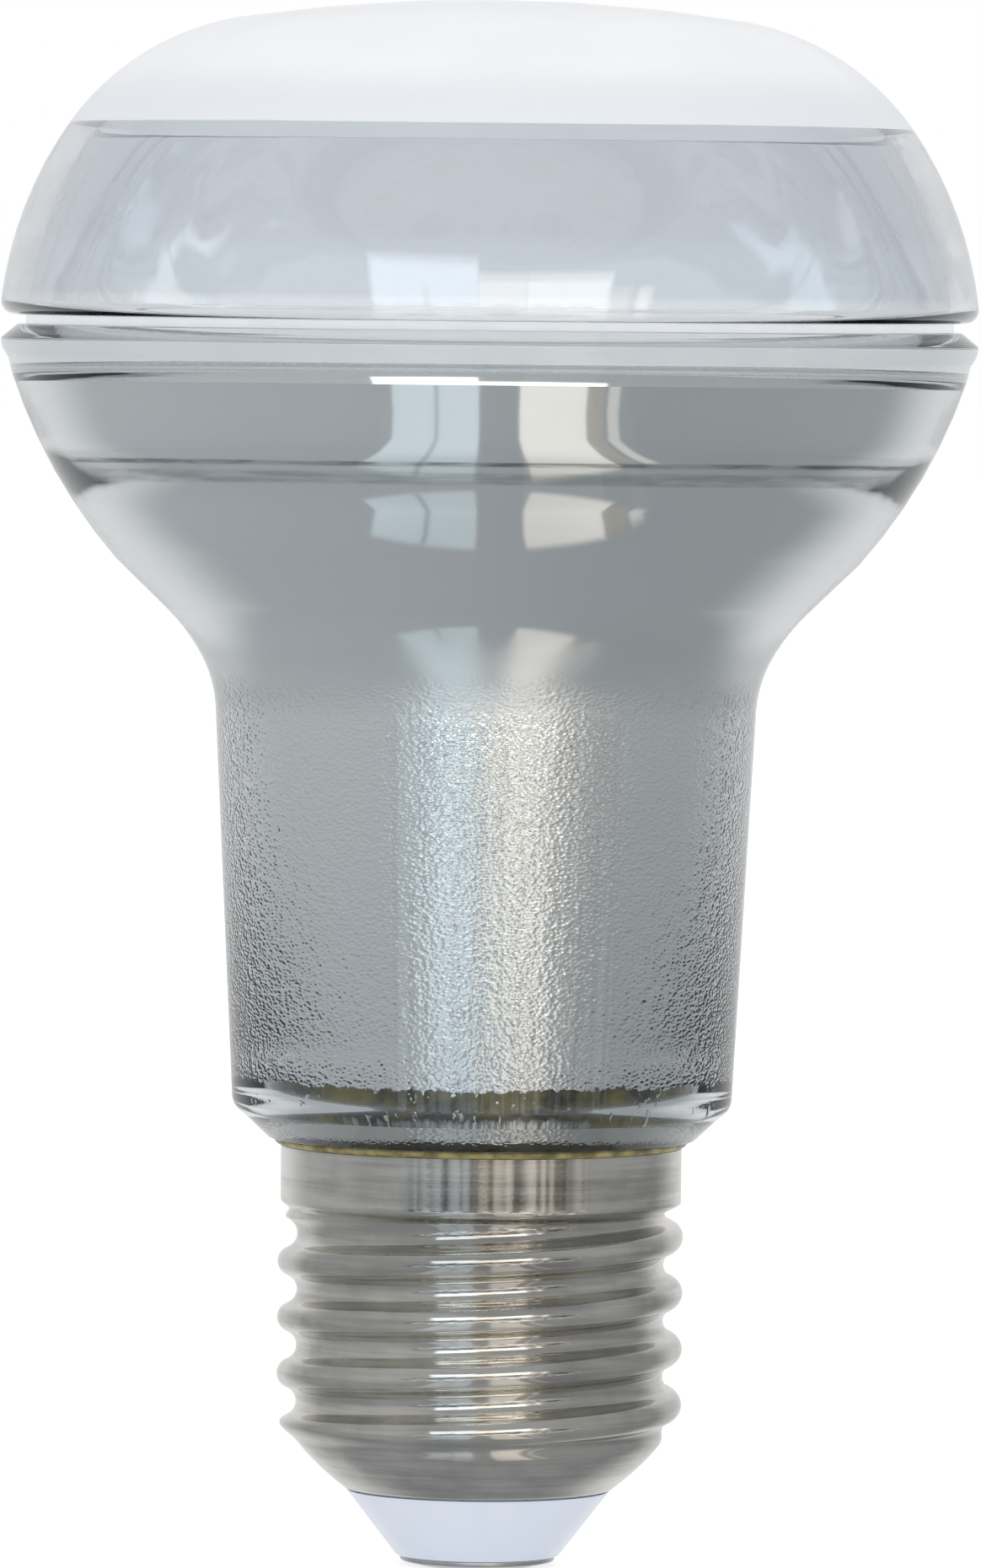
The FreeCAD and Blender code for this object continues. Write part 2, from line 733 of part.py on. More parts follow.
board_back = size.board_thickness / 2
board_front = -board_back
board_blank = joined("driver_board_blank", [
    block("board_tongue", size.board_tongue_width, size.board_thickness, size.board_step - size.board_foot,
          -(size.board_tongue_width / 2), board_front, size.board_foot),
    block("board_wide", size.board_width, size.board_thickness, board_top - size.board_step,
          -(size.board_width / 2), board_front, size.board_step),
])
hole_radius = size.lead_radius + size.fit_clearance / 2
lead_run = size.lead_stub + size.lead_radius
board_holes = []


def board_hole(x, z):
    """A plated hole through the driver board."""
    board_holes.append(rod(f"board_hole_{len(board_holes) + 1}", hole_radius, size.board_thickness,
                           x, board_back, z, FORWARD))


def radial_can(name, radius, length, side, foot, front):
    """An electrolytic can that lies along the board, with two leads bent into it below its foot."""
    lie = radius + size.fit_clearance
    depth = board_front - lie if front else board_back + lie
    pieces = [rod(name + "_can", radius, length, side, depth, foot)]
    reach = lie + size.board_thickness + size.lead_stub / 2
    start = depth if not front else board_back + size.lead_stub / 2
    for sign in (-1, 1):
        x = side + radius / 2 * sign
        z = foot - size.lead_stub
        pieces.append(rod(f"{name}_drop_{sign + 2}", size.lead_radius, lead_run, x, depth, z))
        pieces.append(rod(f"{name}_lead_{sign + 2}", size.lead_radius, reach, x, start, z, FORWARD))
        board_hole(x, z)
    return joined(name, pieces)


input_capacitor = radial_can("input_capacitor", size.input_can_radius, size.input_can_length,
                             -size.input_can_side, size.input_can_foot, True)
output_capacitor = radial_can("output_capacitor", size.output_can_radius, size.output_can_length,
                              size.output_can_side, board_top - size.output_can_drop, False)


def standing(name, corners, x, z):
    """A body turned about an axis that stands on the front of the driver board."""
    body = turned(name, corners)
    return place(body, x, board_front, z, FORWARD)


# Choke: a ferrite spool that stands on the board, with its copper winding

spool_pins = []
choke_spool = standing("choke_spool", [
    (ZERO, ZERO),
    (size.choke_radius, ZERO),
    (size.choke_radius, size.choke_flange),
    (size.choke_waist_radius, size.choke_flange),
    (size.choke_waist_radius, size.choke_height - size.choke_flange),
    (size.choke_radius, size.choke_height - size.choke_flange),
    (size.choke_radius, size.choke_height),
    (ZERO, size.choke_height),
], size.choke_side, size.choke_level)
for sign in (-1, 1):
    pin_x = size.choke_side + size.choke_waist_radius * sign
    spool_pins.append(rod(f"choke_pin_{sign + 2}", size.lead_radius,
                          size.board_thickness + size.lead_stub, pin_x,
                          board_back + size.lead_stub / 2, size.choke_level, FORWARD))
    board_hole(pin_x, size.choke_level)
choke_core = joined("choke_core", [choke_spool] + spool_pins)
choke_winding = standing("choke_winding", [
    (size.choke_waist_radius, size.choke_flange),
    (size.choke_radius - size.winding_inset, size.choke_flange),
    (size.choke_radius - size.winding_inset, size.choke_height - size.choke_flange),
    (size.choke_waist_radius, size.choke_height - size.choke_flange),
], size.choke_side, size.choke_level)

# Parts that sit flat on the board

film_capacitor = block("film_capacitor", size.film_length, size.film_width, size.film_height,
                       -(size.film_side + size.film_length / 2), board_back, size.film_level)
bridge_rectifier = block("bridge_rectifier", size.bridge_length, size.bridge_height, size.bridge_width,
                         -(size.bridge_length / 2), board_back, size.bridge_level)
driver_chip = block("driver_chip", size.chip_length, size.chip_height, size.chip_width,
                    -(size.chip_length / 2), board_back, board_top - size.chip_drop - size.chip_width / 2)
output_diode = block("output_diode", size.diode_width, size.diode_height, size.diode_length,
                     -(size.diode_width / 2), board_back, board_top - size.diode_drop)

fuse_depth = board_front - size.fuse_radius - size.fit_clearance
fuse_pieces = [rod("fuse_barrel", size.fuse_radius, size.fuse_length, -(size.fuse_length / 2),
                   fuse_depth, size.fuse_level, ACROSS)]
for sign in (-1, 1):
    lead_x = (size.fuse_length / 2 + size.lead_stub) * sign
    tail_x = lead_x if sign < 0 else lead_x - lead_run
    fuse_pieces.append(rod(f"fuse_tail_{sign + 2}", size.lead_radius, lead_run, tail_x, fuse_depth,
                           size.fuse_level, ACROSS))
    fuse_pieces.append(rod(f"fuse_lead_{sign + 2}", size.lead_radius,
                           size.fuse_radius + size.fit_clearance + size.board_thickness + size.lead_stub / 2,
                           lead_x, board_back + size.lead_stub / 2, size.fuse_level, FORWARD))
    board_hole(lead_x, size.fuse_level)
fuse_resistor = joined("fuse_resistor", fuse_pieces)

# Output pins from the driver board to the diode board, in an insulating bush

pin_foot = board_top - size.pin_tail
pin_top = led_board_top + size.lead_stub
bush_foot = spreader_under - size.bush_flange_height
pins = []
for side, x in (("left", -size.pin_spread), ("right", size.pin_spread)):
    pins.append(rod(f"output_pin_{side}", size.pin_radius, pin_top - pin_foot, x,
                    board_front - size.pin_radius, pin_foot))
bush_y = board_front - size.pin_radius
bush_blank = joined("pin_bush_blank", [
    rod("bush_body", size.wire_hole_radius - size.fit_clearance, led_board_top - bush_foot,
        ZERO, ZERO, bush_foot),
    rod("bush_flange", size.wire_hole_radius + size.bush_flange_width, size.bush_flange_height,
        ZERO, ZERO, bush_foot),
])
pin_bush = carved("pin_bush", bush_blank, [
    rod(f"bush_hole_{side}", size.pin_radius + size.fit_clearance / 2,
        led_board_top - bush_foot + size.lead_stub, x, bush_y, bush_foot - size.lead_stub / 2)
    for side, x in (("left", -size.pin_spread), ("right", size.pin_spread))])


# Lead wires from the foot of the driver board to the shell and to the centre contact

def wire_along(name, corners, bend, radius):
    """A round wire along straight runs joined by arcs."""
    points = [FreeCAD.Vector(*[number_of(value) for value in corner]) for corner in corners]
    edges = []
    start = points[0]
    for index in range(1, len(points) - 1):
        before = (points[index - 1] - points[index]).normalize()
        after = (points[index + 1] - points[index]).normalize()
        half = math.acos(max(-1.0, min(1.0, before.dot(after)))) / 2
        cut = bend / math.tan(half)
        arc_start = points[index] + before * cut
        arc_end = points[index] + after * cut
        inward = (before + after).normalize()
        middle = points[index] + inward * (bend / math.sin(half) - bend)
        edges.append(Part.LineSegment(start, arc_start).toShape())
        edges.append(Part.Arc(arc_start, middle, arc_end).toShape())
        start = arc_end
    edges.append(Part.LineSegment(start, points[-1]).toShape())
    path = Part.Wire(edges)
    section = Part.Wire([Part.makeCircle(radius, points[0], points[1] - points[0])])
    wire = doc.addObject("Part::Feature", name)
    wire.Shape = path.makePipeShell([section], True, False)
    return wire


thread_bore = size.thread_radius - size.thread_depth - size.sheet
shell_wire_out = thread_bore - size.wire_radius - size.fit_clearance / 2
shell_wire_low = size.sleeve_foot - size.shell_wire_drop
wire_depth = board_front - size.wire_radius
wire_top = size.board_foot + size.wire_tail
shell_lead = wire_along("shell_lead", [
    (-size.shell_wire_side, wire_depth, wire_top),
    (-size.shell_wire_side, wire_depth, shell_wire_low),
    (-shell_wire_out, wire_depth, shell_wire_low),
    (-shell_wire_out, wire_depth, size.shell_wire_end),
], size.wire_bend.number, size.wire_radius.number)
contact_lead = wire_along("contact_lead", [
    (ZERO, wire_depth, wire_top),
    (ZERO, wire_depth, size.board_foot - size.contact_wire_drop),
    (ZERO, ZERO, size.board_foot - size.contact_wire_drop * 2),
    (ZERO, ZERO, size.contact_thickness + size.fit_clearance),
], size.wire_bend.number, size.wire_radius.number)

driver_board = carved("driver_board", board_blank, board_holes)

# Every piece by its node name

PIECES = [
    front_cover, cover_adhesive, reflector_glass, cap_cement, cap_shell, cap_insulator, centre_contact,
    driver_sleeve, sleeve_silicone, heat_spreader, spreader_glue, thermal_pad, led_board, *leds, *screws,
    driver_board, input_capacitor, output_capacitor, choke_core, choke_winding, film_capacitor,
    bridge_rectifier, driver_chip, output_diode, fuse_resistor, *pins, pin_bush, shell_lead, contact_lead,
]

doc.recompute()
faults = [thing.Name for thing in doc.Objects if {"Invalid", "Error"} & set(thing.State)]
if faults:
    raise RuntimeError(f"these objects failed: {faults}")
for piece in PIECES:
    if piece.Shape.isNull() or not piece.Shape.isValid() or not piece.Shape.Solids:
        raise RuntimeError(f"{piece.Name} has no sound shape")
for piece in PIECES:
    piece.Label = piece.Name
    piece.Shape.exportStep(f"parts/{piece.Label}.step")
print(len(PIECES), "pieces written")
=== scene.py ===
import math

import bmesh
import bpy
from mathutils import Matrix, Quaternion, Vector, noise


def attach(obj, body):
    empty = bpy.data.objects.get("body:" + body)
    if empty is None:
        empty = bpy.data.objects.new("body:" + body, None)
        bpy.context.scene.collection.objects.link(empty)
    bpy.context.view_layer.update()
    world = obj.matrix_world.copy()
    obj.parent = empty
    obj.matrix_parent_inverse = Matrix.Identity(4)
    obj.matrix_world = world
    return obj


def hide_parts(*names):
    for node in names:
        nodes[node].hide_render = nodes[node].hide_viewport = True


# Reflector bulb: a clear dome with a frosted crown, a pressed glass body mirrored inside, and a screw cap.
# Outlines are in millimetres, (radius, height), and everything else is in metres.

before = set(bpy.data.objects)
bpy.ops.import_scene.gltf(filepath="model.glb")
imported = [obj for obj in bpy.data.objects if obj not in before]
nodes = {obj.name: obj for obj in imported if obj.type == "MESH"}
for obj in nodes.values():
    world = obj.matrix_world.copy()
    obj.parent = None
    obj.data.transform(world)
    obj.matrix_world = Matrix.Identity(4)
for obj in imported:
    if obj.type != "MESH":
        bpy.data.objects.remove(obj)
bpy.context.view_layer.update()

MM = 0.001
TURN_STEPS = 192
ARC_STEP = math.radians(4)
SHARP = math.radians(28)
CREASE = math.radians(40)


# Node tools

def add(tree, kind, **settings):
    node = tree.nodes.new(kind)
    for name, value in settings.items():
        setattr(node, name, value)
    return node


def feed(tree, socket, value):
    """Sets a socket, or links it where the value is another socket."""
    if isinstance(value, bpy.types.NodeSocket):
        tree.links.new(value, socket)
    else:
        socket.default_value = value


def calc(tree, operation, *values, clamp=False):
    node = add(tree, "ShaderNodeMath", operation=operation, use_clamp=clamp)
    for socket, value in zip(node.inputs, values):
        feed(tree, socket, value)
    return node.outputs[0]


def eased(tree, value, start, end, low=0.0, high=1.0):
    """A smooth step from low to high as the value goes from start to end."""
    node = add(tree, "ShaderNodeMapRange", interpolation_type="SMOOTHSTEP")
    for name, number in (("Value", value), ("From Min", start), ("From Max", end),
                         ("To Min", low), ("To Max", high)):
        feed(tree, node.inputs[name], number)
    return node.outputs[0]


def mixed(tree, factor, first, second, blend="MIX"):
    node = add(tree, "ShaderNodeMix", data_type="RGBA", blend_type=blend)
    feed(tree, node.inputs[0], factor)
    feed(tree, node.inputs[6], first)
    feed(tree, node.inputs[7], second)
    return node.outputs[2]


def grain(tree, vector, scale, detail=2.0, roughness=0.5):
    node = add(tree, "ShaderNodeTexNoise")
    feed(tree, node.inputs["Vector"], vector)
    feed(tree, node.inputs["Scale"], scale)
    feed(tree, node.inputs["Detail"], detail)
    feed(tree, node.inputs["Roughness"], roughness)
    return node.outputs[0]


def scaled(tree, colour, level):
    """A colour times a number, which may pass one."""
    node = add(tree, "ShaderNodeVectorMath", operation="SCALE")
    feed(tree, node.inputs[0], colour[:3] if isinstance(colour, tuple) else colour)
    feed(tree, node.inputs["Scale"], level)
    return node.outputs[0]


def stretched(tree, vector, scale):
    node = add(tree, "ShaderNodeMapping")
    feed(tree, node.inputs["Vector"], vector)
    feed(tree, node.inputs["Scale"], scale)
    return node.outputs[0]


def new_group(name, inputs, outputs):
    tree = bpy.data.node_groups.new(name, "ShaderNodeTree")
    for label, kind, value in inputs:
        socket = tree.interface.new_socket(label, in_out="INPUT", socket_type=kind)
        socket.default_value = value
    for label, kind in outputs:
        tree.interface.new_socket(label, in_out="OUTPUT", socket_type=kind)
    return tree, add(tree, "NodeGroupInput"), add(tree, "NodeGroupOutput")


FLOAT, COLOUR = "NodeSocketFloat", "NodeSocketColor"


# Effects that several finishes share

def make_moulded():
    """Plastic, rubber and resin: cloudy colour, an uneven sheen and a fine skin."""
    tree, given, made = new_group(
        "moulded_skin",
        [("Color", COLOUR, (0.8, 0.8, 0.8, 1)), ("Shade", COLOUR, (0.6, 0.6, 0.6, 1)), ("Scale", FLOAT, 300.0),
         ("Roughness", FLOAT, 0.5), ("Spread", FLOAT, 0.1)],
        [("Color", COLOUR), ("Roughness", FLOAT), ("Height", FLOAT)])
    place = add(tree, "ShaderNodeTexCoord").outputs["Object"]
    cloud = grain(tree, place, given.outputs["Scale"], 3.0)
    fine = grain(tree, place, calc(tree, "MULTIPLY", given.outputs["Scale"], 9.0), 2.0)
    feed(tree, made.inputs["Color"],
         mixed(tree, eased(tree, cloud, 0.35, 0.7), given.outputs["Color"], given.outputs["Shade"]))
    swing = calc(tree, "MULTIPLY", calc(tree, "SUBTRACT", cloud, 0.5), given.outputs["Spread"])
    feed(tree, made.inputs["Roughness"], calc(tree, "ADD", given.outputs["Roughness"], swing, clamp=True))
    feed(tree, made.inputs["Height"], fine)
    return tree


def make_handled():
    """Faint wiping marks and dust on a polished surface."""
    tree, given, made = new_group(
        "handled_gloss",
        [("Low", FLOAT, 0.0), ("High", FLOAT, 0.06), ("Scale", FLOAT, 60.0)],
        [("Roughness", FLOAT), ("Height", FLOAT)])
    place = add(tree, "ShaderNodeTexCoord").outputs["Object"]
    wiped = grain(tree, stretched(tree, place, (1.0, 1.0, 3.0)), given.outputs["Scale"], 4.0, 0.6)
    feed(tree, made.inputs["Roughness"],
         eased(tree, wiped, 0.45, 0.75, given.outputs["Low"], given.outputs["High"]))
    feed(tree, made.inputs["Height"], grain(tree, place, calc(tree, "MULTIPLY", given.outputs["Scale"], 3.0), 1.0))
    return tree


def make_turned():
    """Rings left by rolling and polishing, with a satin grain."""
    tree, given, made = new_group(
        "rolled_metal",
        [("Color", COLOUR, (0.7, 0.7, 0.7, 1)), ("Shade", COLOUR, (0.5, 0.5, 0.5, 1)), ("Roughness", FLOAT, 0.2),
         ("Spread", FLOAT, 0.1), ("Rings", FLOAT, 900.0)],
        [("Color", COLOUR), ("Roughness", FLOAT), ("Height", FLOAT)])
    place = add(tree, "ShaderNodeTexCoord").outputs["Object"]
    rings = grain(tree, stretched(tree, place, (0.04, 0.04, 1.0)), given.outputs["Rings"], 3.0, 0.6)
    satin = grain(tree, place, 4200.0, 2.0, 0.6)
    cloud = grain(tree, place, 120.0, 4.0, 0.6)
    tone = calc(tree, "ADD", calc(tree, "MULTIPLY", rings, 0.5), calc(tree, "MULTIPLY", cloud, 0.5))
    feed(tree, made.inputs["Color"],
         mixed(tree, eased(tree, tone, 0.38, 0.62), given.outputs["Shade"], given.outputs["Color"]))
    swing = calc(tree, "MULTIPLY", calc(tree, "SUBTRACT", tone, 0.5), given.outputs["Spread"])
    feed(tree, made.inputs["Roughness"], calc(tree, "ADD", given.outputs["Roughness"], swing, clamp=True))
    feed(tree, made.inputs["Height"],
         calc(tree, "ADD", calc(tree, "MULTIPLY", rings, 0.6), calc(tree, "MULTIPLY", satin, 0.4)))
    return tree


def make_height_band():
    """One between two heights of the object, nought outside, with soft ends."""
    tree, given, made = new_group(
        "height_band",
        [("Low", FLOAT, 0.0), ("High", FLOAT, 1.0), ("Soft", FLOAT, 0.001)], [("Mask", FLOAT)])
    split = add(tree, "ShaderNodeSeparateXYZ")
    feed(tree, split.inputs[0], add(tree, "ShaderNodeTexCoord").outputs["Object"])
    low = given.outputs["Low"]
    high = given.outputs["High"]
    soft = given.outputs["Soft"]
    rise = eased(tree, split.outputs["Z"], calc(tree, "SUBTRACT", low, soft), calc(tree, "ADD", low, soft))
    fall = eased(tree, split.outputs["Z"], calc(tree, "SUBTRACT", high, soft), calc(tree, "ADD", high, soft),
                 1.0, 0.0)
    feed(tree, made.inputs["Mask"], calc(tree, "MULTIPLY", rise, fall))
    return tree


def make_hammered():
    """Small dimples of the pressing mould, in cells of uneven size."""
    tree, given, made = new_group(
        "hammered_dimples", [("Scale", FLOAT, 1600.0), ("Soften", FLOAT, 0.6)], [("Height", FLOAT)])
    place = add(tree, "ShaderNodeTexCoord").outputs["Object"]
    cells = add(tree, "ShaderNodeTexVoronoi", feature="SMOOTH_F1")
    feed(tree, cells.inputs["Vector"], stretched(tree, place, (1.0, 1.0, 1.5)))
    feed(tree, cells.inputs["Scale"], given.outputs["Scale"])
    feed(tree, cells.inputs["Smoothness"], given.outputs["Soften"])
    swell = grain(tree, place, calc(tree, "MULTIPLY", given.outputs["Scale"], 0.45), 2.0)
    feed(tree, made.inputs["Height"], calc(tree, "ADD", cells.outputs["Distance"], swell))
    return tree


MOULDED = make_moulded()
HANDLED = make_handled()
ROLLED = make_turned()
BAND = make_height_band()
HAMMERED = make_hammered()


class Finish:
    """A material with one Principled shader, and the tools to lay effects on it."""

    def __init__(self, name, **values):
        self.material = bpy.data.materials.new(name)
        self.material.use_nodes = True
        self.tree = self.material.node_tree
        self.shader = self.tree.nodes["Principled BSDF"]
        for label, value in values.items():
            self.set(label.replace("_", " "), value)

    def set(self, label, value):
        feed(self.tree, self.shader.inputs[label], value)

    def lay(self, effect, **values):
        node = add(self.tree, "ShaderNodeGroup", node_tree=effect)
        for label, value in values.items():
            feed(self.tree, node.inputs[label.replace("_", " ")], value)
        return node.outputs

    def raise_by(self, height, distance, strength=1.0, below=None):
        """A bump of so many metres, over the normal of another bump where one is given."""
        bump = add(self.tree, "ShaderNodeBump")
        feed(self.tree, bump.inputs["Height"], height)
        bump.inputs["Distance"].default_value = distance
        feed(self.tree, bump.inputs["Strength"], strength)
        if below is not None:
            feed(self.tree, bump.inputs["Normal"], below)
        feed(self.tree, self.shader.inputs["Normal"], bump.outputs[0])
        return bump.outputs[0]

    def cover(self, *node_names):
        for node_name in node_names:
            mesh = nodes[node_name].data
            mesh.materials.clear()
            mesh.materials.append(self.material)


def moulded(name, colour, shade, roughness, scale=300.0, spread=0.1, skin=0.00001, **values):
    finish = Finish(name, **values)
    made = finish.lay(MOULDED, Color=(*colour, 1), Shade=(*shade, 1), Scale=scale, Roughness=roughness,
                      Spread=spread)
    finish.set("Base Color", made["Color"])
    finish.set("Roughness", made["Roughness"])
    finish.raise_by(made["Height"], skin)
    return finish


def rolled(name, colour, shade, roughness, spread, rings=900.0, skin=0.000004):
    finish = Finish(name, Metallic=1.0)
    made = finish.lay(ROLLED, Color=(*colour, 1), Shade=(*shade, 1), Roughness=roughness, Spread=spread,
                      Rings=rings)
    finish.set("Base Color", made["Color"])
    finish.set("Roughness", made["Roughness"])
    finish.raise_by(made["Height"], skin)
    return finish


# Finishes of what shows

# Heights on the dome, in metres: where painted shade on its plastic starts, the top of its foot with its painted
# highlight, and a peened band
SHADED_ABOVE, FOOT_TOP, PEENED = 0.0855, 0.0819, (0.0858, 0.0886)
OVER_ALL = 0.2


def make_clear_plastic():
    """Clear with a lilac tint, darker in its top half with painted shade, and nearly white in its lowest part with a
    painted highlight.
    """
    finish = Finish("clear_lilac_plastic", Transmission_Weight=1.0, IOR=1.57, Coat_Weight=0.5, Coat_IOR=1.9)
    tree = finish.tree
    place = add(tree, "ShaderNodeTexCoord").outputs["Object"]
    marks = finish.lay(HANDLED, Low=0.0, High=0.03, Scale=70.0)
    finish.set("Roughness", marks["Roughness"])
    # Painted shade: the wall is darker and bluer above one height.
    upper_shade = finish.lay(BAND, Low=SHADED_ABOVE, High=OVER_ALL, Soft=0.0007)
    # Painted highlight: the foot is nearly white.
    foot_highlight = finish.lay(BAND, Low=0.0, High=FOOT_TOP, Soft=0.0003)
    cloud = grain(tree, place, 45.0, 2.0)
    high = mixed(tree, cloud, (0.78, 0.81, 0.85, 1), (0.82, 0.845, 0.88, 1))
    low = mixed(tree, cloud, (0.81, 0.845, 0.885, 1), (0.84, 0.875, 0.91, 1))
    wall = mixed(tree, upper_shade["Mask"], low, high)
    finish.set("Base Color", mixed(tree, foot_highlight["Mask"], wall, (0.97, 0.98, 0.99, 1)))
    peened = finish.lay(BAND, Low=PEENED[0], High=PEENED[1], Soft=0.0008)
    wiped = finish.raise_by(marks["Height"], 0.000004)
    finish.raise_by(grain(tree, place, 1500.0, 2.0), 0.00002, calc(tree, "MULTIPLY", peened["Mask"], 0.35), wiped)
    return finish


def make_pressed_glass():
    finish = Finish("pressed_glass", Transmission_Weight=1.0, IOR=1.52)
    tree = finish.tree
    place = add(tree, "ShaderNodeTexCoord").outputs["Object"]
    marks = finish.lay(HANDLED, Low=0.0, High=0.02, Scale=90.0)
    finish.set("Base Color", mixed(tree, grain(tree, place, 40.0), (0.92, 0.95, 0.945, 1), (0.95, 0.97, 0.965, 1)))
    finish.set("Roughness", marks["Roughness"])
    finish.raise_by(marks["Height"], 0.00001)
    return finish


# Heights along the mirror film, in metres
TAPER_TOP, NECK_TOP = 0.0301, 0.0574
BEND, LEDGE, LEDGE_LINE = (0.0555, 0.0605), (0.0706, 0.0713), (0.07165, 0.0719)
BARE_RING_TOP, BARE_RING_FOOT = (0.03165, 0.03173), (0.02995, 0.0301)


def make_mirror_film():
    """Aluminium film: smooth in the bowl, hammered in the neck, with painted shade at its step and on its lowest
    slope, and a ragged bare ring near its lower end.
    """
    finish = Finish("mirror_film", Metallic=1.0)
    tree = finish.tree
    place = add(tree, "ShaderNodeTexCoord").outputs["Object"]
    split = add(tree, "ShaderNodeSeparateXYZ")
    feed(tree, split.inputs[0], place)
    neck = finish.lay(BAND, Low=0.0, High=NECK_TOP, Soft=0.0016)
    bend = finish.lay(BAND, Low=BEND[0], High=BEND[1], Soft=0.0015)
    line = finish.lay(BAND, Low=LEDGE_LINE[0], High=LEDGE_LINE[1], Soft=0.00008)
    ledge_shade = finish.lay(BAND, Low=LEDGE[0], High=LEDGE[1], Soft=0.00012)
    taper_shade = finish.lay(BAND, Low=0.0, High=TAPER_TOP, Soft=0.0002)

    cloud = grain(tree, place, 60.0, 3.0)
    shade_streaks = eased(tree, grain(tree, stretched(tree, place, (1.0, 1.0, 12.0)), 260.0, 2.0), 0.35, 0.65, 0.35, 1.0)
    film = mixed(tree, cloud, (0.86, 0.87, 0.87, 1), (0.93, 0.93, 0.93, 1))
    # Painted shade: dark streaks along the ledge and its line.
    film = mixed(tree, calc(tree, "MULTIPLY", ledge_shade["Mask"], calc(tree, "MULTIPLY", shade_streaks, 0.6)), film,
                 (0.40, 0.43, 0.42, 1))
    film = mixed(tree, calc(tree, "MULTIPLY", line["Mask"], shade_streaks), film, (0.26, 0.28, 0.27, 1))
    # Painted shade: the lower taper is darker.
    film = mixed(tree, calc(tree, "MULTIPLY", taper_shade["Mask"], 0.6), film, (0.30, 0.30, 0.28, 1))
    finish.set("Base Color", film)
    finish.set("Roughness", calc(tree, "ADD", calc(tree, "MULTIPLY", neck["Mask"], 0.05),
                                 calc(tree, "MULTIPLY_ADD", bend["Mask"], 0.16, 0.04)))
    dimples = finish.lay(HAMMERED, Scale=3300.0, Soften=0.3)
    finish.raise_by(dimples["Height"], 0.000025, neck["Mask"])

    # The bare ring: its edges wander, and flecks of film are left in it
    fleck = grain(tree, stretched(tree, place, (1.0, 1.0, 0.7)), 1700.0, 4.0, 0.7)
    drift = grain(tree, place, 260.0, 2.0)
    edge = calc(tree, "ADD", calc(tree, "MULTIPLY", calc(tree, "SUBTRACT", fleck, 0.5), 0.0012),
                calc(tree, "MULTIPLY", calc(tree, "SUBTRACT", drift, 0.5), 0.0006))
    above = eased(tree, calc(tree, "ADD", split.outputs["Z"], edge), *BARE_RING_TOP)
    below = eased(tree, calc(tree, "MULTIPLY_ADD", edge, 0.25, split.outputs["Z"]), *BARE_RING_FOOT, 1.0, 0.0)
    patch = eased(tree, calc(tree, "ADD", fleck, calc(tree, "MULTIPLY", drift, 0.4)), 0.86, 0.88)
    finish.set("Alpha", calc(tree, "MAXIMUM", calc(tree, "MAXIMUM", above, below), patch))
    return finish


RIM_TOP = 0.0955


def make_frost():
    """White diffusing crown, made greyer by painted shade in its lower band."""
    finish = Finish("frosted_crown", IOR=1.5)
    tree = finish.tree
    made = finish.lay(MOULDED, Color=(0.93, 0.935, 0.94, 1), Shade=(0.90, 0.908, 0.915, 1), Scale=140.0,
                      Roughness=0.34, Spread=0.12)
    rim_shade = finish.lay(BAND, Low=0.0, High=RIM_TOP, Soft=0.0015)
    # Painted shade: the crown is greyer below the top of the rim.
    finish.set("Base Color", mixed(tree, rim_shade["Mask"], made["Color"], (0.81, 0.825, 0.845, 1)))
    finish.set("Roughness", made["Roughness"])
    finish.raise_by(made["Height"], 0.000004)
    return finish


def make_frost_inside():
    """Inner side of the crown, glowing with painted light in place of the light that the frost lets through."""
    # The emission is painted light: a glow on the crown's inner side.
    finish = Finish("frost_inside_glow", IOR=1.5, Emission_Strength=0.58)
    made = finish.lay(MOULDED, Color=(0.90, 0.92, 0.94, 1), Shade=(0.86, 0.88, 0.905, 1), Scale=140.0,
                      Roughness=0.42, Spread=0.1)
    finish.set("Base Color", made["Color"])
    finish.set("Emission Color", made["Color"])
    finish.set("Roughness", made["Roughness"])
    finish.raise_by(made["Height"], 0.000004)
    return finish


CLEAR = make_clear_plastic()
GLASS = make_pressed_glass()
FILM = make_mirror_film()
NICKEL = rolled("nickel_plate", (0.76, 0.73, 0.67), (0.48, 0.465, 0.435), 0.10, 0.14, 1500.0)
FROST = make_frost()
FROST_INSIDE_GLOW = make_frost_inside()
# The emission of the adhesive is painted light: a glow that lifts the joint out of the shade inside the glass.
ADHESIVE_GLOW = moulded("pale_silicone_glow", (0.90, 0.92, 0.94), (0.84, 0.87, 0.90), 0.3, 400.0, 0.2, 0.00001,
                   Emission_Color=(0.92, 0.96, 1.0, 1.0), Emission_Strength=0.24)
CEMENT = moulded("olive_cement", (0.34, 0.29, 0.11), (0.13, 0.11, 0.04), 0.32, 900.0, 0.3, 0.00006)
WHITE_GLAZE = moulded("insulator_white", (0.74, 0.785, 0.875), (0.71, 0.76, 0.855), 0.16, 90.0, 0.06, 0.000004,
                      Coat_Weight=0.4, Coat_Roughness=0.05)
CONTACT = rolled("contact_plate", (0.66, 0.66, 0.66), (0.50, 0.50, 0.50), 0.28, 0.2, 500.0, 0.00001)
SLEEVE = moulded("sleeve_white", (0.80, 0.80, 0.77), (0.72, 0.72, 0.68), 0.45, 120.0)
SILICONE = moulded("olive_silicone", (0.15, 0.13, 0.02), (0.006, 0.006, 0.004), 0.12, 420.0, 0.1, 0.00004)
ALUMINIUM = rolled("drawn_aluminium", (0.83, 0.84, 0.85), (0.68, 0.69, 0.70), 0.3, 0.2)
COMPOUND = moulded("thermal_compound", (0.45, 0.46, 0.48), (0.33, 0.34, 0.36), 0.5, 300.0)
SOLDER_MASK = moulded("white_solder_mask", (0.86, 0.86, 0.84), (0.80, 0.80, 0.78), 0.35, 250.0)
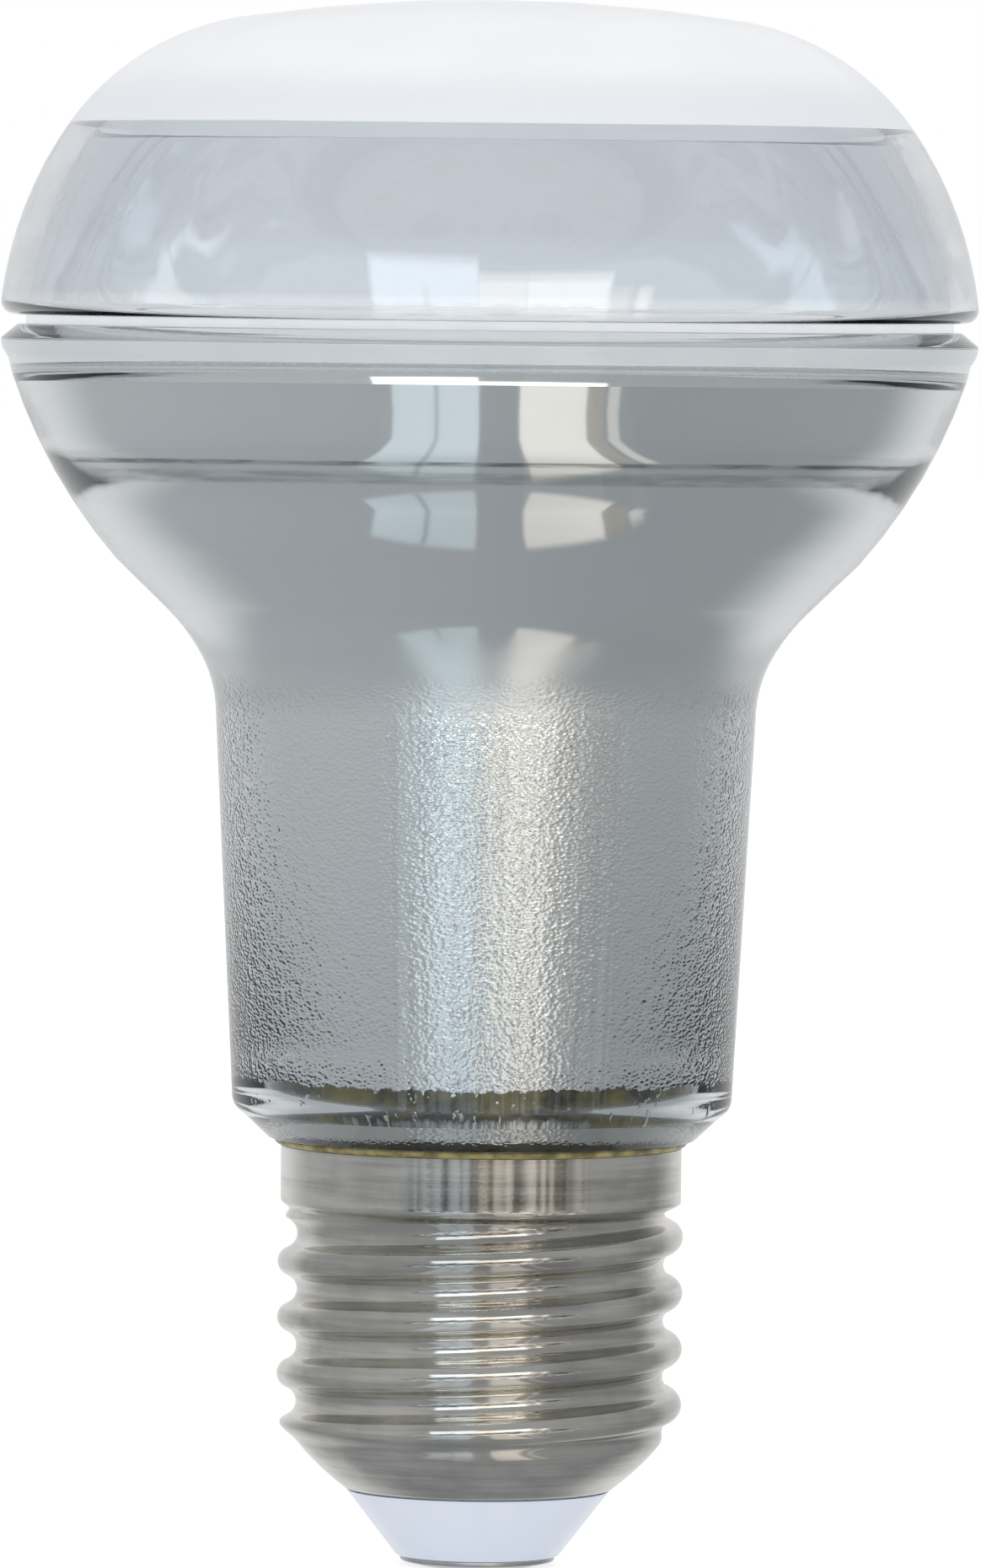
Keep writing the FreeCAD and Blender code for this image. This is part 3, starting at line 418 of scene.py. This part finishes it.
SCREW = rolled("screw_steel", (0.62, 0.62, 0.62), (0.42, 0.42, 0.42), 0.3, 0.2)
BOARD = moulded("green_board", (0.06, 0.22, 0.09), (0.03, 0.13, 0.05), 0.4, 350.0)
SHRINK = moulded("black_shrink_sleeve", (0.025, 0.025, 0.032), (0.015, 0.015, 0.02), 0.25, 200.0)
FERRITE = moulded("ferrite", (0.05, 0.05, 0.055), (0.025, 0.025, 0.03), 0.6, 500.0)
COPPER = rolled("enamelled_copper", (0.70, 0.36, 0.16), (0.45, 0.20, 0.08), 0.25, 0.2, 2500.0, 0.00008)
FILM_RED = moulded("dipped_red", (0.32, 0.05, 0.03), (0.22, 0.03, 0.02), 0.25, 200.0)
MOULDED_BLACK = moulded("moulded_black", (0.022, 0.022, 0.022), (0.015, 0.015, 0.015), 0.55, 500.0)
RESISTOR = moulded("glazed_resistor", (0.16, 0.30, 0.24), (0.10, 0.20, 0.16), 0.3, 300.0)
TINNED = rolled("tinned_wire", (0.74, 0.74, 0.74), (0.55, 0.55, 0.55), 0.25, 0.2)
BUSH = moulded("bush_white", (0.80, 0.80, 0.78), (0.72, 0.72, 0.70), 0.45, 300.0)
LED = moulded("led_package", (0.86, 0.85, 0.80), (0.80, 0.79, 0.74), 0.4, 500.0)
PHOSPHOR = moulded("yellow_phosphor", (0.86, 0.62, 0.10), (0.80, 0.52, 0.06), 0.35, 900.0, 0.1, 0.00001)

LED_COUNT = 12

SLEEVE.cover("driver_sleeve")
ALUMINIUM.cover("heat_spreader")
COMPOUND.cover("spreader_glue", "thermal_pad")
SOLDER_MASK.cover("led_board")
SCREW.cover("board_screw_left", "board_screw_right")
BOARD.cover("driver_board")
SHRINK.cover("input_capacitor", "output_capacitor")
FERRITE.cover("choke_core")
COPPER.cover("choke_winding")
FILM_RED.cover("film_capacitor")
MOULDED_BLACK.cover("bridge_rectifier", "driver_chip", "output_diode")
RESISTOR.cover("fuse_resistor")
TINNED.cover("output_pin_left", "output_pin_right", "shell_lead", "contact_lead")
BUSH.cover("pin_bush")
LED.cover(*[f"led_{number:02d}" for number in range(1, LED_COUNT + 1)])


# Mesh tools

def drawn(bm, corners, closed=True):
    """An outline in the XZ plane. A third number of a corner is the radius of the arc that follows it,
    positive where the arc swells to the left of its way."""
    places = [Vector((corner[0], 0, corner[1])) * MM for corner in corners]
    tip = bm.verts.new(places[0])
    for index in range(len(corners) if closed else len(corners) - 1):
        start, goal = places[index], places[(index + 1) % len(corners)]
        if start.x == 0 and goal.x == 0:
            continue
        if len(corners[index]) == 3:
            bend = corners[index][2] * MM
            run = goal - start
            left = Vector((-run.z, 0, run.x)).normalized()
            rise = math.sqrt(max(bend * bend - run.length_squared / 4, 0.0))
            centre = (start + goal) / 2 - left * math.copysign(rise, bend)
            sweep = 2 * math.asin(min(run.length / 2 / abs(bend), 1.0))
            steps = max(2, math.ceil(sweep / ARC_STEP))
            made = bmesh.ops.spin(bm, geom=[tip], cent=centre, axis=(0, 1, 0), angle=math.copysign(sweep, bend),
                                  steps=steps)
            tip = made["geom_last"][0]
        else:
            tip = bmesh.ops.extrude_vert_indiv(bm, verts=[tip])["verts"][0]
            tip.co = goal
    bmesh.ops.remove_doubles(bm, verts=bm.verts, dist=1e-7)


def lathed(corners, closed=True, rounding=0.0, steps=TURN_STEPS):
    """An outline turned once round the axis, with its sharp rings rounded."""
    bm = bmesh.new()
    drawn(bm, corners, closed)
    bmesh.ops.spin(bm, geom=bm.verts[:] + bm.edges[:], cent=(0, 0, 0), axis=(0, 0, 1), angle=2 * math.pi,
                   steps=steps, use_merge=True)
    bmesh.ops.remove_doubles(bm, verts=bm.verts, dist=1e-6)
    bmesh.ops.recalc_face_normals(bm, faces=bm.faces)
    if rounding:
        sharp = [edge for edge in bm.edges if len(edge.link_faces) == 2 and edge.calc_face_angle() > SHARP]
        bmesh.ops.bevel(bm, geom=sharp, offset=rounding * MM, affect="EDGES", segments=3, profile=0.5,
                        material=-1, clamp_overlap=True)
    return bm


def finished(name, bm, finish, replaced=()):
    """The piece from its mesh, with its finish and the solids that it stands for."""
    mesh = bpy.data.meshes.new(name)
    bm.to_mesh(mesh)
    bm.free()
    mesh.shade_smooth()
    mesh.set_sharp_from_angle(angle=CREASE)
    mesh.materials.append(finish.material)
    piece = bpy.data.objects.new(name, mesh)
    bpy.context.scene.collection.objects.link(piece)
    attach(piece, "root")
    if replaced:
        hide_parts(*replaced)
    return piece


# Dome: clear plastic, with its crown frosted outside and inside, the inner frost glowing with painted light

DOME = [(0, 101.0, 106.9), (16.3, 99.75, 16.8), (27.1, 93.0, 25.0), (31.5, 81.4, 0.9), (30.6, 80.5),
        (28.0, 80.5), (28.0, 79.0), (26.8, 79.0), (26.8, 80.5), (29.5, 80.7), (29.8, 81.2, -25.3),
        (25.51, 92.4, -15.1), (16.04, 98.07, -105.2), (0, 99.3)]
DOME_MIDDLE = Vector((0, 0, 0.08))
FROST_OUTSIDE_EDGE, FROST_INSIDE_EDGE = 92.9, 92.45


def moulded_dome():
    """The dome cut all round where its frost ends outside and inside, with the faces above on two more materials."""
    bm = lathed(DOME, rounding=0.15)
    for edge in (FROST_OUTSIDE_EDGE, FROST_INSIDE_EDGE):
        bmesh.ops.bisect_plane(bm, geom=bm.verts[:] + bm.edges[:] + bm.faces[:], dist=1e-7,
                               plane_co=(0, 0, edge * MM), plane_no=(0, 0, 1))
    for face in bm.faces:
        middle = face.calc_center_median()
        outer = face.normal.dot(middle - DOME_MIDDLE) > 0
        if outer and middle.z > FROST_OUTSIDE_EDGE * MM:
            face.material_index = 1
        elif not outer and middle.z > FROST_INSIDE_EDGE * MM:
            face.material_index = 2
    return bm


clear_dome = finished("clear_dome", moulded_dome(), CLEAR, ["front_cover"])
clear_dome.data.materials.append(FROST.material)
clear_dome.data.materials.append(FROST_INSIDE_GLOW.material)

# Glass body, and the mirror film on its inner wall

FACET_FOOT = 76.7
INNER_WALL = [
    (14.1, 30.4), (14.48, 31.2), (15.78, 55.05, 9.75), (16.9, 59.38, 13.95), (19.45, 62.78),
    (22.85, 66.08, -32.85), (25.97, 70.5), (27.14, 71.8, -34.5), (28.96, FACET_FOOT), (28.96, 77.6)]
GLASS_BODY = [
    (28.1, 79.9), (30.4, 79.9), (31.5, 79.0, 1.753), (31.03, 77.8), (30.75, 76.7, 34.5), (24.0, 64.9),
    (20.6, 61.6, -12.3), (18.35, 58.6, -8.1), (17.43, 55.0), (16.15, 30.3, 1.3), (15.45, 29.2), (13.75, 27.6),
    (12.2, 27.6), (12.2, 23.8), (10.9, 23.8), (10.9, 27.3), *INNER_WALL, (28.15, 78.25), (28.1, 78.4)]
glass_body = finished("glass_body", lathed(GLASS_BODY, rounding=0.12), GLASS,
                      ["reflector_glass"])

FILM_OUT, FILM_IN = 0.04, 0.02
FILM_LINE = [(11.5, 27.9), *INNER_WALL, (28.16, 78.22)]


def shifted(line, by):
    return [(corner[0] + by, *corner[1:]) for corner in line]


def back_along(line):
    """The same line drawn from its other end, with its arcs swelling the same way."""
    turned = []
    for index in range(len(line) - 1, -1, -1):
        bend = line[index - 1][2:] if index else ()
        turned.append((line[index][0], line[index][1], *[-number for number in bend]))
    return turned


film = finished("mirror_film", lathed(shifted(FILM_LINE, FILM_IN) + back_along(shifted(FILM_LINE, FILM_OUT))),
                FILM)


def keep_crisp(piece, height, within):
    """Keeps the ring at a height, inside a radius, from being shaded round."""
    mesh = piece.data
    for edge in mesh.edges:
        ends = [mesh.vertices[index].co for index in edge.vertices]
        if all(abs(end.z - height * MM) < 1e-5 and end.xy.length < within * MM for end in ends):
            edge.use_edge_sharp = True


for piece in (glass_body, film):
    keep_crisp(piece, FACET_FOOT, 29.5)


# Adhesive in the joint between the dome and the glass, with the skirt that ran down inside the mouth

JOINT = [(28.02, 78.4), (28.16, 78.4), (28.16, 79.85), (28.3, 79.93), (29.9, 79.93), (29.9, 80.47),
         (28.02, 80.47)]
# The joint glows with painted light.
finished("joint_adhesive", lathed(JOINT), ADHESIVE_GLOW, ["cover_adhesive"])

# Seal that shows through the bare glass under the film

SEAL = [(12.0, 28.42), (14.12, 30.48), (14.42, 31.2), (14.56, 34.2), (13.75, 34.2), (13.75, 31.75), (10.45, 28.42)]
finished("olive_seal", lathed(SEAL), SILICONE, ["sleeve_silicone"])


# Screw cap: a turned sheet whose rows are pressed into a knuckle thread

PITCH, CREST, DEPTH, SHEET = 3.629, 13.1, 1.25, 0.3
CAP_FOOT, CONE_TOP, SKIRT, CAP_TOP = 4.95, 9.4, 23.6, 27.1
CRIMP_RADIUS, SKIRT_RADIUS, CREST_AT, RUN_OUT = 8.62, 12.95, 10.47, 1.6


def ease(value):
    held = min(max(value, 0.0), 1.0)
    return held * held * (3 - 2 * held)


def knuckle(turns):
    """Height of the thread over its middle, of equal arcs, at so many turns from a crest."""
    quarter, half = PITCH / 4, DEPTH / 2
    arc = (quarter * quarter + half * half) / (2 * half)
    along = abs((turns + 0.5) % 1.0 - 0.5) * PITCH
    if along <= quarter:
        return math.sqrt(arc * arc - along * along) - (arc - half)
    return (arc - half) - math.sqrt(arc * arc - (2 * quarter - along) ** 2)


def cap_radius(height, angle):
    middle = CREST - DEPTH / 2
    rise = min((height - CAP_FOOT) / (CONE_TOP - CAP_FOOT), 1.0)
    cone = middle - (middle - CRIMP_RADIUS) * (1 - rise) ** 1.5
    thread_in = ease((height - CONE_TOP + RUN_OUT) / RUN_OUT)
    thread_out = ease((SKIRT - height) / RUN_OUT)
    to_skirt = ease((height - SKIRT + RUN_OUT / 2) / (RUN_OUT / 2))
    wave = knuckle((height - CREST_AT) / PITCH - angle / (2 * math.pi)) * thread_in * thread_out
    neck_in = DEPTH / 2 * (1 - thread_out) * (1 - to_skirt)
    return cone + wave - neck_in + (SKIRT_RADIUS - middle) * to_skirt


CAP_ROWS = 150


def rolled_cap():
    """A tube in rows, pressed to the cap's radius at each height and angle, then given the sheet's thickness."""
    bm = bmesh.new()
    tip = bm.verts.new((CREST * MM, 0, CAP_FOOT * MM))
    for row in range(CAP_ROWS):
        tip = bmesh.ops.extrude_vert_indiv(bm, verts=[tip])["verts"][0]
        tip.co.z += (CAP_TOP - CAP_FOOT) / CAP_ROWS * MM
    bmesh.ops.spin(bm, geom=bm.verts[:] + bm.edges[:], cent=(0, 0, 0), axis=(0, 0, 1), angle=2 * math.pi,
                   steps=TURN_STEPS, use_merge=True)
    bmesh.ops.recalc_face_normals(bm, faces=bm.faces)
    if sum(face.normal.dot(Vector((*face.calc_center_median().xy, 0))) for face in bm.faces) < 0:
        bmesh.ops.reverse_faces(bm, faces=bm.faces)
    for vert in bm.verts:
        angle = math.atan2(vert.co.y, vert.co.x)
        radius = cap_radius(vert.co.z / MM, angle) * MM
        vert.co.x, vert.co.y = radius * math.cos(angle), radius * math.sin(angle)
    bmesh.ops.solidify(bm, geom=bm.faces[:], thickness=SHEET * MM)
    return bm


finished("threaded_cap", rolled_cap(), NICKEL, ["cap_shell"])

# Cement: a ring that was pressed out between the cap and the glass

CEMENT_RING = [(12.22, 24.2), (12.5, 24.2), (12.5, 27.12), (12.95, 27.12), (13.25, 27.25), (13.35, 27.42),
               (13.3, 27.58), (12.22, 27.58)]
BEAD_FOOT, BEAD_INSIDE, BEAD_WANDER = 0.02714, 0.0128, 0.018


def cement_ring():
    """The ring, with the edge that was pressed out made uneven."""
    bm = lathed(CEMENT_RING, rounding=0.1)
    for vert in bm.verts:
        if vert.co.z > BEAD_FOOT and vert.co.xy.length > BEAD_INSIDE:
            wander = noise.noise(vert.co * 260) * 0.5 + noise.noise(vert.co * 900) * 0.25
            vert.co.xy *= 1 + wander * BEAD_WANDER
    return bm


finished("cement_bead", cement_ring(), CEMENT, ["cap_cement"])

# Insulator and centre contact

INSULATOR = [(1.3, 0.62), (5.25, 0.62), (8.52, 4.85), (8.22, 4.85), (8.22, 5.05), (9.02, 6.1), (9.02, 6.9),
             (5.6, 6.9), (4.8, 2.22), (1.3, 2.22)]
finished("white_insulator", lathed(INSULATOR, rounding=0.12), WHITE_GLAZE,
         ["cap_insulator"])

CONTACT_DISC = [(0, 0), (3.8, 0), (5.0, 0.3), (5.0, 0.62), (1.2, 0.62), (1.2, 2.84), (0.45, 2.84), (0.45, 0.62),
                (0, 0.62)]
finished("contact_disc", lathed(CONTACT_DISC, rounding=0.12), CONTACT, ["centre_contact"])

# Phosphor in the well of each diode

LED_RING, WELL_RADIUS, WELL_FLOOR, WELL_RIM = 10.2, 1.03, 62.631, 62.73


def phosphor_wells():
    bm = bmesh.new()
    for number in range(LED_COUNT):
        angle = 2 * math.pi * (number + 0.5) / LED_COUNT
        made = bmesh.ops.create_cone(bm, cap_ends=True, cap_tris=False, segments=32, radius1=WELL_RADIUS * MM,
                                     radius2=WELL_RADIUS * MM, depth=(WELL_RIM - WELL_FLOOR) * MM)
        bmesh.ops.translate(bm, verts=made["verts"], vec=(
            LED_RING * math.cos(angle) * MM, LED_RING * math.sin(angle) * MM, (WELL_RIM + WELL_FLOOR) / 2 * MM))
    return bm


finished("diode_phosphor", phosphor_wells(), PHOSPHOR)


# Floor: pale paper that only takes the shadow, with a glow that keeps it white

PAPER_GLOW, MORE_WHERE_SEEN, GLOW_STRENGTH = 0.45, 0.15, 1.3


def make_floor():
    bm = bmesh.new()
    bmesh.ops.create_grid(bm, x_segments=4, y_segments=4, size=4.0)
    mesh = bpy.data.meshes.new("pale_floor")
    bm.to_mesh(mesh)
    bm.free()
    floor = bpy.data.objects.new("pale_floor", mesh)
    bpy.context.scene.collection.objects.link(floor)
    material = bpy.data.materials.new("pale_paper")
    material.use_nodes = True
    tree = material.node_tree
    tree.nodes.clear()
    paper = add(tree, "ShaderNodeBsdfDiffuse")
    place = add(tree, "ShaderNodeTexCoord").outputs["Object"]
    feed(tree, paper.inputs["Color"],
         mixed(tree, grain(tree, place, 800.0), (0.86, 0.86, 0.86, 1), (0.9, 0.9, 0.9, 1)))
    glow = add(tree, "ShaderNodeEmission")
    blend = add(tree, "ShaderNodeMixShader")
    seen = add(tree, "ShaderNodeLightPath").outputs["Is Camera Ray"]
    feed(tree, blend.inputs[0], calc(tree, "MULTIPLY_ADD", seen, MORE_WHERE_SEEN, PAPER_GLOW))
    feed(tree, blend.inputs[1], paper.outputs[0])
    feed(tree, blend.inputs[2], glow.outputs[0])
    feed(tree, glow.inputs["Strength"], GLOW_STRENGTH)
    feed(tree, add(tree, "ShaderNodeOutputMaterial").inputs[0], blend.outputs[0])
    mesh.materials.append(material)
    floor.visible_glossy = False
    floor.visible_transmission = False


make_floor()


# Studio: plain white for what is seen straight or through the glass, and a grey room with soft windows for
# what is reflected

WINDOWS = [
    # from and to across the room, lowest and highest, colour, strength
    (-0.68, -0.07, -2.0, 0.46, (0.84, 0.93, 1.0), 0.88),
    (0.22, 0.69, -2.0, 0.38, (1.0, 0.97, 0.93), 1.0),
    (-0.07, 0.22, -0.3, 0.38, (1.0, 0.95, 0.87), 0.88),
    (0.69, 0.80, -2.0, 0.3, (1.0, 0.95, 0.88), 0.46),
    (0.83, 0.90, -2.0, 0.3, (1.0, 0.98, 0.95), 0.72),
    (-0.39, -0.36, -2.0, 0.3, (0.82, 0.93, 1.0), 0.60),
]
SIDE_SOFT, FOOT_SOFT, HEAD_SOFT = 0.012, 0.05, 0.02

# Steps of the windows' brightness with height: where each starts and ends, and its level before and after
WINDOW_LEVELS = [(-0.42, -0.3, 0.9, 1.13), (-0.2, -0.06, 1.0, 0.46), (0.03, 0.2, 1.0, 4.8), (-0.97, -0.8, 0.75, 1.0)]


def make_studio():
    """The room by direction: X across it, Y away from the camera, Z up, each from -1 to 1."""
    tree, given, made = new_group("soft_windows", [("Room", FLOAT, 1.0), ("Windows", FLOAT, 1.0)],
                                  [("Color", COLOUR)])
    direction = add(tree, "ShaderNodeTexCoord").outputs["Generated"]
    split = add(tree, "ShaderNodeSeparateXYZ")
    feed(tree, split.inputs[0], direction)
    across, along, height = split.outputs["X"], split.outputs["Y"], split.outputs["Z"]

    # The walls are darker low down and to the right, and pale behind the bulb
    room = mixed(tree, eased(tree, height, -0.9, 0.2), (0.355, 0.375, 0.395, 1), (0.46, 0.48, 0.495, 1))
    room = scaled(tree, room, calc(tree, "MULTIPLY", eased(tree, across, -0.8, 0.8, 1.06, 0.82),
                                   given.outputs["Room"]))
    room = mixed(tree, eased(tree, along, 0.45, 0.95), room, (0.78, 0.79, 0.80, 1))

    # The windows stand closer together low down and high up, and only on the camera's side
    spread = calc(tree, "MULTIPLY", eased(tree, height, -0.42, -0.1, 0.55, 1.0),
                  eased(tree, height, 0.0, 0.12, 1.0, 0.68))
    place = calc(tree, "DIVIDE", across, spread)
    front = eased(tree, along, -0.2, -0.12, 1.0, 0.0)

    # Their brightness goes by height, and is mottled in the part that the neck and the cap reflect
    level = eased(tree, height, *WINDOW_LEVELS[0])
    for step in WINDOW_LEVELS[1:]:
        level = calc(tree, "MULTIPLY", level, eased(tree, height, *step))
    mottled = calc(tree, "MULTIPLY", eased(tree, height, -0.5, -0.3), eased(tree, height, 0.08, 0.16, 1.0, 0.0))
    panes = mixed(tree, mottled, (1.0, 1.0, 1.0, 1),
                  eased(tree, grain(tree, direction, 16.0, 3.0), 0.42, 0.56, 0.25, 1.6))
    sky = calc(tree, "MULTIPLY", given.outputs["Windows"], calc(tree, "MULTIPLY", level, panes))

    for left, right, low, high, colour, strength in WINDOWS:
        side = calc(tree, "MULTIPLY", eased(tree, place, left - SIDE_SOFT, left + SIDE_SOFT),
                    eased(tree, place, right - SIDE_SOFT, right + SIDE_SOFT, 1.0, 0.0))
        ends = calc(tree, "MULTIPLY", eased(tree, height, low - FOOT_SOFT, low + FOOT_SOFT),
                    eased(tree, height, high - HEAD_SOFT, high + HEAD_SOFT, 1.0, 0.0))
        lit = scaled(tree, (*[strength * part for part in colour], 1), sky)
        room = mixed(tree, calc(tree, "MULTIPLY", front, calc(tree, "MULTIPLY", side, ends)), room, lit)
    feed(tree, made.inputs["Color"], room)
    return tree


def make_world():
    """White straight on and through the glass, the studio in reflections, and even light on dull surfaces."""
    world = bpy.data.worlds.new("studio")
    bpy.context.scene.world = world
    world.use_nodes = True
    world.cycles.sampling_method = "NONE"
    tree = world.node_tree
    tree.nodes.clear()
    path = add(tree, "ShaderNodeLightPath").outputs
    reflected = calc(tree, "GREATER_THAN", path["Glossy Depth"], 0.5)
    open_glass = calc(tree, "MULTIPLY", path["Is Transmission Ray"], calc(tree, "SUBTRACT", 1.0, reflected))
    white = calc(tree, "MAXIMUM", path["Is Camera Ray"], open_glass)
    straight = calc(tree, "LESS_THAN", path["Transmission Depth"], 0.5)
    windows = add(tree, "ShaderNodeGroup", node_tree=make_studio())
    feed(tree, windows.inputs["Room"], calc(tree, "SUBTRACT", 1.0, calc(tree, "MULTIPLY", straight, 0.05)))
    feed(tree, windows.inputs["Windows"], calc(tree, "MULTIPLY_ADD", straight, -0.15, 1.0))
    plain = mixed(tree, path["Is Diffuse Ray"], windows.outputs["Color"], (0.84, 0.85, 0.87, 1))
    colour = mixed(tree, white, plain, (1.0, 1.0, 1.0, 1))
    light = add(tree, "ShaderNodeBackground")
    feed(tree, light.inputs["Color"], colour)
    feed(tree, add(tree, "ShaderNodeOutputWorld").inputs[0], light.outputs[0])


make_world()


LAMP_SIZE = 0.6
LAMP_AIM = Vector((0, 0, 0.05))


def lamp(name, place, watts, colour=(1, 1, 1)):
    """A round soft lamp that isn't reflected."""
    data = bpy.data.lights.new(name, "AREA")
    data.shape = "DISK"
    data.size = LAMP_SIZE
    data.energy = watts
    data.color = colour
    thing = bpy.data.objects.new(name, data)
    bpy.context.scene.collection.objects.link(thing)
    thing.location = place
    thing.rotation_mode = "QUATERNION"
    thing.rotation_quaternion = (LAMP_AIM - Vector(place)).to_track_quat("-Z", "Y")
    thing.visible_glossy = False
    thing.visible_transmission = False


lamp("soft_left", (-0.6, -0.7, 0.8), 1.5, (0.97, 0.98, 1.0))
lamp("soft_right", (0.7, -0.6, 0.6), 0.9, (1.0, 0.98, 0.96))
lamp("soft_back", (0.2, 0.8, 0.7), 0.9)

# Camera: level with the dome, tipped down a little and rolled as the photograph is

LOOK_AT = Vector((0.00035, 0.0, 0.0505))
EYE = Vector((0.00035, -0.83, 0.0846))
FRAME_HEIGHT = 0.1012
SENSOR_HEIGHT = 24.0
ROLL = math.radians(0.6)


def make_camera():
    data = bpy.data.cameras.new("camera")
    data.sensor_fit = "VERTICAL"
    data.sensor_height = SENSOR_HEIGHT
    data.lens = SENSOR_HEIGHT * (LOOK_AT - EYE).length / FRAME_HEIGHT
    data.clip_start = 0.01
    data.clip_end = 20.0
    camera = bpy.data.objects.new("camera", data)
    bpy.context.scene.collection.objects.link(camera)
    camera.location = EYE
    camera.rotation_mode = "QUATERNION"
    camera.rotation_quaternion = (LOOK_AT - EYE).to_track_quat("-Z", "Y") @ Quaternion((0, 0, 1), ROLL)
    bpy.context.scene.camera = camera


make_camera()
bpy.context.scene.view_settings.view_transform = "Standard"
